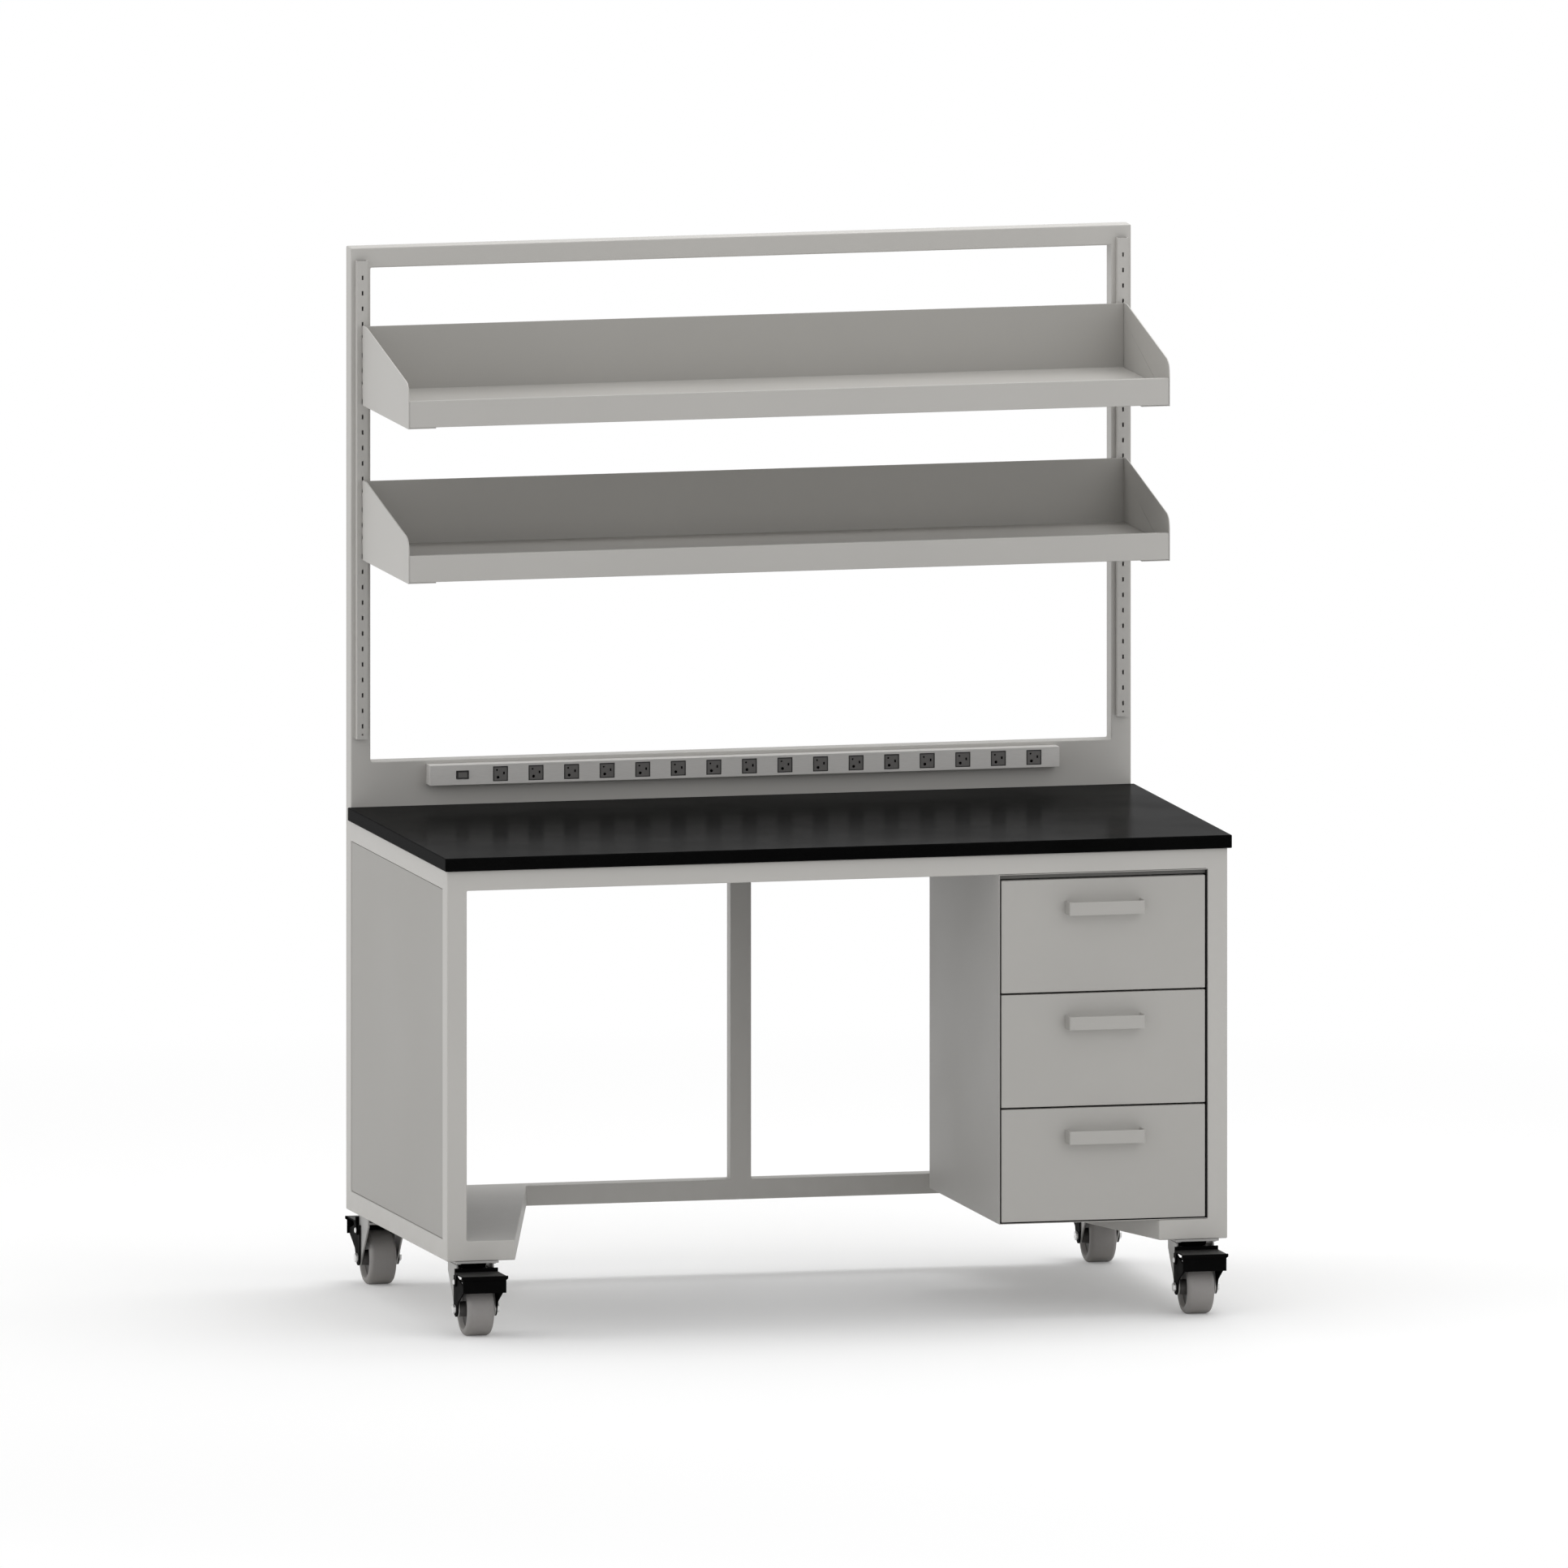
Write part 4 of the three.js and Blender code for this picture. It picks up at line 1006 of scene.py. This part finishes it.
@dataclass
class PowerRail:
    """The power rail: its housing, the sockets and the rocker switch.

    Attributes:
        first: centre of the first socket.
        pitch: distance between sockets.
        count: number of sockets.
        half: half width of a socket's face.
        tall: half height of a socket's face.
        hole: depth under the strip's front where the painted shade in the pin holes begins.
        rim: width of the raised rim round a face.
        proud: how far the rim stands out of the face.
        seat: how far the rim runs into the face.
        rim_edge: rounding of the rims' edges.
        strip_edge: rounding of the strip's edges.
        housing_edge: rounding of the housing's edges.
        border: width of the rocker's dark border.
        crest: depth within which the rocker's sloping faces lie.
        dip: how far those faces lie inside the border.
        crease: angle above which the rocker's edges stay sharp, in degrees.
    """

    first: float = -0.4656
    pitch: float = 0.0678
    count: int = 16
    half: float = 0.0140
    tall: float = 0.0137
    hole: float = 0.0012
    rim: float = 0.0017
    proud: float = 0.00045
    seat: float = 0.0004
    rim_edge: float = 0.00015
    strip_edge: float = 0.0003
    housing_edge: float = 0.0004
    border: float = 0.0028
    crest: float = 0.0016
    dip: float = 0.0003
    crease: float = 30.0

    def sockets(self) -> None:
        """The moulded strip with its pin holes painted near-black as shade, and a raised rim round each
        face.
        """
        low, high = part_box("socket_strip")
        strip = Maker.finished("socket_strip", self.strip_edge)

        def sunk(face: Face) -> bool:
            """Whether a face is inside a pin hole."""
            return face.center.y > low.y + self.hole

        mount(strip, "frame", MOULDING, "socket_strip", second=PIN_HOLE_SHADE, pick=sunk)
        middle = (low.z + high.z) / 2
        corner = Vector((self.half, 0, self.tall))
        rims = []
        for number in range(self.count):
            place = Vector((self.first + number * self.pitch, low.y, middle))
            start = place - corner - Vector((0, self.proud, 0))
            end = place + corner + Vector((0, self.seat, 0))
            rim = Maker.block(f"rim_{number}", start, end)
            Maker.pick_faces(rim, lambda face: abs(face.normal.y) > FACING)
            with Maker.editing(rim):
                bpy.ops.mesh.inset(thickness=self.rim)
                bpy.ops.mesh.bridge_edge_loops()
            rims.append(rim)
        row = Maker.soften(Maker.joined("socket_rims", rims), self.rim_edge, 1)
        mount(row, "frame", DARK_MOULDING)

    def rocker(self) -> None:
        """The rocker with a dark border round its two sloping faces."""
        low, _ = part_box("rocker_switch")
        piece = Maker.merged_copy("rocker_switch")
        front = low.y + self.crest
        Maker.pick_faces(piece, lambda face: face.normal.y < -FACING and face.center.y < front)
        with Maker.editing(piece):
            bpy.ops.mesh.inset(thickness=self.border, use_boundary=True)
            bpy.ops.transform.translate(value=(0, self.dip, 0))
        chosen = {face.index for face in piece.data.polygons if face.select}
        Maker.smooth(piece, self.crease)

        def sloping(face: Face) -> bool:
            """Whether a face lies inside the border."""
            return face.index in chosen

        mount(piece, "rocker", DARK_MOULDING, "rocker_switch", second=MOULDING, pick=sloping)

    def build(self) -> None:
        """Builds the housing, the socket row and the switch."""
        softened("power_rail_housing", "frame", ANODISED, self.housing_edge)
        self.sockets()
        self.rocker()


@dataclass
class DrawerCabinet:
    """The hanging cabinet with three drawers on runners.

    Attributes:
        drawers: the drawers, from the top.
        fold: radius of a drawer front's folded edges.
        segments: segments of a folded edge.
        sheet: sheet thickness.
        setback: how far the header lies behind the drawer fronts.
        reveal: gap between the header and the top drawer.
        depth: depth of the header.
        header_fold: radius of the header's lower edges.
        shell_edge: rounding of the edges of the shell and the drawer boxes.
        runner_edge: rounding of the runners' edges.
        handle_edge: rounding of the handles' edges.
        skin: depth under the shell's outside where its inner faces begin.
        edge_on: greatest share of an inner face's normal towards the front or the back.
    """

    drawers: tuple[str, ...] = ("top", "middle", "bottom")
    fold: float = 0.0016
    segments: int = 4
    sheet: float = 0.0015
    setback: float = 0.012
    reveal: float = 0.0018
    depth: float = 0.014
    header_fold: float = 0.0008
    shell_edge: float = 0.0006
    runner_edge: float = 0.0004
    handle_edge: float = 0.0005
    skin: float = 0.0003
    edge_on: float = 0.5

    def front(self, drawer: str) -> None:
        """A folded drawer front, hollow behind.

        Args:
            drawer: the drawer.
        """
        node = f"{drawer}_drawer_front"
        low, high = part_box(node)
        piece = Maker.block(f"{drawer}_drawer_face", low, high)
        Maker.bevel(piece, self.fold, self.segments, lambda a, b: min(a.y, b.y) < low.y + TOUCH)
        Maker.pick_faces(piece, lambda face: face.normal.y > FACING and face.center.y > high.y - TOUCH)
        with Maker.editing(piece):
            bpy.ops.mesh.inset(thickness=self.sheet)
            hollow = high.y - low.y - self.sheet
            bpy.ops.mesh.extrude_region_move(TRANSFORM_OT_translate={"value": (0, -hollow, 0)})
        mount(Maker.smooth(piece), f"{drawer}_drawer", CABINET_COAT, node)

    def shell(self) -> None:
        """The folded shell, coated outside and painted near-black where it faces the drawers, as painted
        shade in the gap and behind them.
        """
        low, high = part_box("cabinet_shell")
        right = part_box("top_drawer_front")[1].x
        shell = Maker.finished("cabinet_shell", self.shell_edge)

        def inner(face: Face) -> bool:
            """Whether a face lies behind the drawers or in the gap beside them.

            Args:
                face: a face of the shell.

            Returns:
                True for a face painted near-black as shade.
            """
            x, _, z = face.center
            across = low.x + self.skin < x < high.x - self.skin
            upright = low.z + self.skin < z < high.z - self.skin
            return across and upright and (x > right or abs(face.normal.y) < self.edge_on)

        # faces behind and beside the drawers take the near-black painted shade
        mount(shell, "frame", CABINET_COAT, "cabinet_shell", second=CABINET_PAINTED_SHADE, pick=inner)

    def header(self) -> None:
        """The folded rail that closes the cabinet above the top drawer, its tone darkened as painted shade
        of the recess.
        """
        low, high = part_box("cabinet_shell")
        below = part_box("top_drawer_front")[1].z + self.reveal
        front = low.y + self.setback
        start = (low.x + self.sheet, front, below)
        end = (high.x - self.sheet, front + self.depth, high.z - self.sheet)
        rail = Maker.block("cabinet_header", start, end)
        Maker.bevel(rail, self.header_fold, 2, lambda a, b: max(a.z, b.z) < below + TOUCH)
        mount(Maker.smooth(rail), "frame", HEADER_SHADED_COAT)

    def build(self) -> None:
        """Builds the shell, the drawers and the runners."""
        self.shell()
        self.header()
        for label in SIDES:
            softened(f"drawer_runner_{label}", "frame", ZINC, self.runner_edge, 1)
        for drawer in self.drawers:
            body = f"{drawer}_drawer"
            self.front(drawer)
            softened(f"{body}_box", body, DRAWER_STEEL, self.shell_edge)
            softened(f"{body}_handle", body, HANDLE_COAT, self.handle_edge)


@dataclass
class Casters:
    """Four braked swivel casters.

    Attributes:
        ends: the corners of the bench.
        radius: wheel radius.
        half: half the tyre's width.
        rim: radius where the tyre meets the core.
        dish: depth of the core's recess.
        bore: radius of the hub's bore.
        ease: easing of the bore's mouth and of the recess's outer corner.
        boss: radius of the hub's flat face.
        chamfer: chamfer of the hub and of the rim.
        root: radius of the hub where it meets the recess.
        fillet: fillet between the hub and the recess.
        lip: width of the rim's sloping lip.
        tread: rounding of the tyre's shoulders.
        tread_steps: steps of that rounding.
        turn_steps: steps of the wheel's full turn.
        crease: angle above which a spun piece's edges stay sharp, in degrees.
        plate_sheet: thickness of the top plate.
        plate_edge: rounding of its edges.
        collar: depths under the plate between which the collar lies, painted black as shade.
        bolt: radius of a plate bolt's head.
        bolt_inset: distance from the plate's edges to a bolt's axis.
        bolt_steps: steps of a bolt head's full turn.
        dome: outline of a bolt's head, as shares of its radius and heights.
        fork_edge: rounding of the fork's edges.
        axle_head: thickness of the axle bolt's heads.
        cheek_edge: rounding of the brake cheeks' edges.
        rivet: thickness of the rivets' heads.
        pedal_drop: depth of the pedal's tread under its highest point.
        pedal_edge: rounding of the pedal's edges.
        pedal_band: greatest distance of a lighter face from the tread.
        flare: how far the pedal's lip stands out at each end.
        lip_depth: depths of the lip's corner and of its foot under the tread.
        lip_sheet: thickness of the lip.
    """

    ends: tuple[str, ...] = ("front_left", "front_right", "rear_left", "rear_right")
    radius: float = 0.050
    half: float = 0.0255
    rim: float = 0.036
    dish: float = 0.009
    bore: float = 0.0068
    ease: float = 0.001
    boss: float = 0.0128
    chamfer: float = 0.0012
    root: float = 0.0145
    fillet: float = 0.0015
    lip: float = 0.0026
    tread: float = 0.0085
    tread_steps: int = 7
    turn_steps: int = 64
    crease: float = 40.0
    plate_sheet: float = 0.004
    plate_edge: float = 0.0008
    collar: tuple[float, float] = (0.0125, 0.0001)
    bolt: float = 0.0055
    bolt_inset: float = 0.0085
    bolt_steps: int = 20
    dome: tuple[tuple[float, float], ...] = (
        (0.0, 0.0), (1.0, 0.0), (1.0, -0.0007), (0.8, -0.0018), (0.5, -0.0023), (0.45, -0.0012),
        (0.0, -0.0012),
    )
    fork_edge: float = 0.0006
    axle_head: float = 0.0052
    cheek_edge: float = 0.0005
    rivet: float = 0.0021
    pedal_drop: float = 0.007
    pedal_edge: float = 0.0007
    pedal_band: float = 0.002
    flare: float = 0.003
    lip_depth: tuple[float, float] = (0.005, 0.0075)
    lip_sheet: float = 0.003

    def profile(self, hub: float) -> list[tuple[float, float]]:
        """The closed outline that a wheel is spun from.

        Args:
            hub: half the length of the hub.

        Returns:
            Radius and place across the wheel, in order.
        """
        floor = self.half - self.dish
        side = [(self.bore, hub - self.ease), (self.bore + self.ease, hub), (self.boss, hub)]
        side += [(self.boss + self.chamfer, hub - self.chamfer), (self.root, floor + self.fillet)]
        side += [(self.root + self.fillet, floor), (self.rim - 2 * self.fillet, floor)]
        side += [(self.rim - self.ease, floor + self.ease)]
        side += [(self.rim + self.chamfer, self.half - self.chamfer), (self.rim + self.lip, self.half)]
        for step in range(self.tread_steps + 1):
            turn = step / self.tread_steps * math.pi / 2
            across = self.half - self.tread * (1 - math.cos(turn))
            side.append((self.radius - self.tread * (1 - math.sin(turn)), across))
        return side + [(r, -x) for r, x in reversed(side)]

    def wheel(self, end: str) -> None:
        """A grey wheel with a rounded tread, dished sides and a hub.

        Args:
            end: the caster's corner.
        """
        node = f"caster_{end}_wheel"
        low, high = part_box(node)
        centre = (low + high) / 2
        outline = self.profile((high.x - low.x) / 2)
        wheel = Maker.spun(f"wheel_{end}_tyre", outline, Axis.X, tuple(centre), self.turn_steps)
        Maker.smooth(wheel, self.crease)

        def core(face: Face) -> bool:
            """Whether a face belongs to the plastic core."""
            return math.hypot(face.center.y - centre.y, face.center.z - centre.z) < self.rim

        mount(wheel, f"wheel_{end}", TYRE, node, second=WHEEL_CORE, pick=core)

    def plate(self, end: str) -> None:
        """The top plate with its collar painted black as shade under the plate, and four button-head bolts.

        Args:
            end: the caster's corner.
        """
        node = f"caster_{end}_plate"
        low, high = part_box(node)
        under = high.z - self.plate_sheet
        lowest, highest = (under - depth for depth in self.collar)
        piece = Maker.finished(node, self.plate_edge)

        def collar(face: Face) -> bool:
            """Whether a face belongs to the collar."""
            return lowest < face.center.z < highest

        # collar faces take black steel as painted shade round the swivel bearing
        mount(piece, "frame", ZINC, node, second=BLACK_STEEL, pick=collar)
        outline = [(self.bolt * share, height) for share, height in self.dome]
        heads = []
        for x in (low.x + self.bolt_inset, high.x - self.bolt_inset):
            for y in (low.y + self.bolt_inset, high.y - self.bolt_inset):
                heads.append(Maker.spun("bolt_head", outline, Axis.Z, (x, y, under), self.bolt_steps))
        bolts = Maker.smooth(Maker.joined(f"caster_{end}_bolts", heads), self.crease)
        mount(bolts, "frame", BRIGHT_ZINC)

    @staticmethod
    def riveted(node: str, body: str, finish: Finish, edge: float, head: float) -> None:
        """A pressed piece with bright heads at its two ends along X.

        Args:
            node: the CAD node.
            body: the body that it rides on.
            finish: the finish between the heads.
            edge: rounding of its edges.
            head: thickness of the heads.
        """
        low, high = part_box(node)

        def bright(face: Face) -> bool:
            """Whether a face belongs to a head."""
            return not low.x + head < face.center.x < high.x - head

        mount(Maker.finished(node, edge), body, finish, node, second=BRIGHT_ZINC, pick=bright)

    def pedal(self, end: str) -> None:
        """The brake pedal with a flared lip and a lighter grey top.

        Args:
            end: the caster's corner.
        """
        node = f"caster_{end}_pedal"
        low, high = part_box(node)
        top = high.z - self.pedal_drop
        nose, inward = (low.y, 1) if end.startswith("front") else (high.y, -1)
        middle = (low.x + high.x) / 2
        half = (high.x - low.x) / 2
        wide = half + self.flare
        corner, foot = self.lip_depth
        lip = [(-wide, top), (-wide, top - corner), (-half, top - foot)]
        outline = [(middle + x, z) for x, z in lip + [(-x, z) for x, z in reversed(lip)]]
        bar = Maker.prism("lip", outline, Axis.Y, nose, nose + inward * self.lip_sheet)
        piece = Maker.soften(Maker.weld(Maker.merged_copy(node), bar), self.pedal_edge)

        def lighter_tread(face: Face) -> bool:
            """Whether a face is part of the tread."""
            return face.normal.z > FACING and abs(face.center.z - top) < self.pedal_band

        mount(piece, f"brake_{end}", BLACK_STEEL, node, second=PEDAL_TREAD, pick=lighter_tread)

    def build(self) -> None:
        """Builds all four casters."""
        for end in self.ends:
            body = f"caster_{end}"
            self.wheel(end)
            self.plate(end)
            self.riveted(f"{body}_fork", body, ZINC, self.fork_edge, self.axle_head)
            self.riveted(f"{body}_housing", body, BLACK_STEEL, self.cheek_edge, self.rivet)
            self.pedal(end)


@dataclass(frozen=True)
class Lamp:
    """A square soft lamp.

    Attributes:
        name: its name.
        place: its middle.
        target: the point that it faces.
        size: the length of a side.
        watts: its power.
    """

    name: str
    place: Point
    target: Point
    size: float
    watts: float

    def hang(self) -> None:
        """Adds the lamp to the scene."""
        data = bpy.data.lights.new(self.name, "AREA")
        data.shape = "SQUARE"
        data.size = self.size
        data.energy = self.watts
        lamp = bpy.data.objects.new(self.name, data)
        bpy.context.scene.collection.objects.link(lamp)
        lamp.location = self.place
        lamp.rotation_euler = (Vector(self.place) - Vector(self.target)).to_track_quat("Z", "Y").to_euler()


@dataclass
class Studio:
    """The pale floor, the soft lamps and the camera.

    Attributes:
        azimuth: camera angle to the left of the front, in degrees.
        elevation: camera angle above the floor, in degrees.
        aim: the point in the middle of the picture.
        width: width of the view in metres.
        away: distance of the camera from that point.
        reach: distance beyond which the camera sees nothing.
        lamps: the lamps.
        floor_radius: radius of the floor.
        floor_sides: sides of its outline.
        lift: how much the floor is lifted towards white where it is seen.
        albedo: share of the light that the floor gives back.
        fade: distances over which the floor runs out to white.
        fill: strength of the sky's light from the left and from the right.
    """

    azimuth: float = 13.56
    elevation: float = 7.29
    aim: Point = (-0.0061, -0.004, 0.962)
    width: float = 2.9064
    away: float = 12.0
    reach: float = 60.0
    lamps: tuple[Lamp, ...] = (
        Lamp("overhead", (0.9, 0.7, 4.6), (0.0, 0.0, 0.8), 3.6, 88.0),
        Lamp("right_front", (1.6, -4.6, 2.4), (0.0, 0.0, 1.4), 2.5, 26.0),
        Lamp("left", (-6.0, 0.4, 2.9), (0.0, 0.0, 1.4), 2.0, 52.0),
    )
    floor_radius: float = 30.0
    floor_sides: int = 96
    lift: float = 0.13
    albedo: float = 0.86
    fade: tuple[float, float] = (1.2, 4.0)
    fill: tuple[float, float] = (0.8, 0.62)

    def camera(self) -> None:
        """An orthographic camera at the viewing angle."""
        yaw, rise = math.radians(self.azimuth), math.radians(self.elevation)
        back = Vector((-math.sin(yaw) * math.cos(rise), -math.cos(yaw) * math.cos(rise), math.sin(rise)))
        data = bpy.data.cameras.new("view")
        data.type = "ORTHO"
        data.ortho_scale = self.width
        data.clip_end = self.reach
        camera = bpy.data.objects.new("view", data)
        bpy.context.scene.collection.objects.link(camera)
        camera.location = Vector(self.aim) + back * self.away
        camera.rotation_euler = back.to_track_quat("Z", "Y").to_euler()
        bpy.context.scene.camera = camera

    def floor(self) -> None:
        """A wide pale floor that keeps the shadow and runs out to white."""
        bpy.ops.object.select_all(action="DESELECT")
        bpy.ops.mesh.primitive_circle_add(
            vertices=self.floor_sides, radius=self.floor_radius, fill_type="NGON"
        )
        floor = Maker.name(bpy.context.object, "floor")
        made = bpy.data.materials.new("pale_floor")
        made.use_nodes = True
        tree = Tree(made.node_tree)
        path = tree.node("ShaderNodeLightPath").outputs
        seen = tree.maths("MAXIMUM", path["Is Camera Ray"], path["Is Glossy Ray"])
        seen = tree.maths("MAXIMUM", seen, path["Is Transmission Ray"])
        place = tree.node("ShaderNodeTexCoord").outputs["Object"]
        reach = tree.node("ShaderNodeVectorMath", {0: place}, operation="LENGTH").outputs["Value"]
        far = tree.maths("MULTIPLY", seen, tree.ranged(reach, *self.fade, 0.0, 1.0))
        matt = tree.node("ShaderNodeBsdfDiffuse", {"Color": (self.albedo,) * 3}).outputs[0]
        lift = tree.maths("MULTIPLY", seen, self.lift)
        glow = tree.node("ShaderNodeEmission", {"Color": WHITE, "Strength": lift}).outputs[0]
        near = tree.node("ShaderNodeAddShader", {0: matt, 1: glow}).outputs[0]
        white = tree.node("ShaderNodeEmission", {"Color": WHITE, "Strength": 1.0}).outputs[0]
        both = tree.node("ShaderNodeMixShader", {0: far, 1: near, 2: white}).outputs[0]
        tree.node("ShaderNodeOutputMaterial", {"Surface": both})
        floor.data.materials.append(made)

    def world(self) -> None:
        """White to the camera, a soft fill otherwise."""
        world = bpy.data.worlds.new("studio")
        bpy.context.scene.world = world
        world.use_nodes = True
        tree = Tree(world.node_tree)
        path = tree.node("ShaderNodeLightPath").outputs
        seen = tree.maths("MAXIMUM", path["Is Camera Ray"], path["Is Transmission Ray"])
        way = tree.node("ShaderNodeTexCoord").outputs["Generated"]
        across = tree.node("ShaderNodeSeparateXYZ", {0: way}).outputs[0]
        sky = tree.ranged(across, -1.0, 1.0, *self.fill)
        strength = tree.node("ShaderNodeMix", {0: seen, 2: sky, 3: 1.0}, data_type="FLOAT").outputs[0]
        shine = tree.node("ShaderNodeBackground", {"Color": WHITE, "Strength": strength}).outputs[0]
        tree.node("ShaderNodeOutputWorld", {"Surface": shine})

    def build(self) -> None:
        """Sets up the whole studio."""
        bpy.context.scene.view_settings.view_transform = "Standard"
        self.floor()
        self.world()
        for lamp in self.lamps:
            lamp.hang()
        self.camera()


def main() -> None:
    """Builds every sub-assembly in order."""
    logging.basicConfig(level=logging.INFO, format="%(name)s: %(message)s")
    studio = Studio()
    studio.build()
    for assembly in (WeldedFrame(), Worktop(), ReagentShelves(), PowerRail(), DrawerCabinet(), Casters()):
        LOG.info("building %s", type(assembly).__name__)
        assembly.build()


if __name__ == "__main__":
    main()
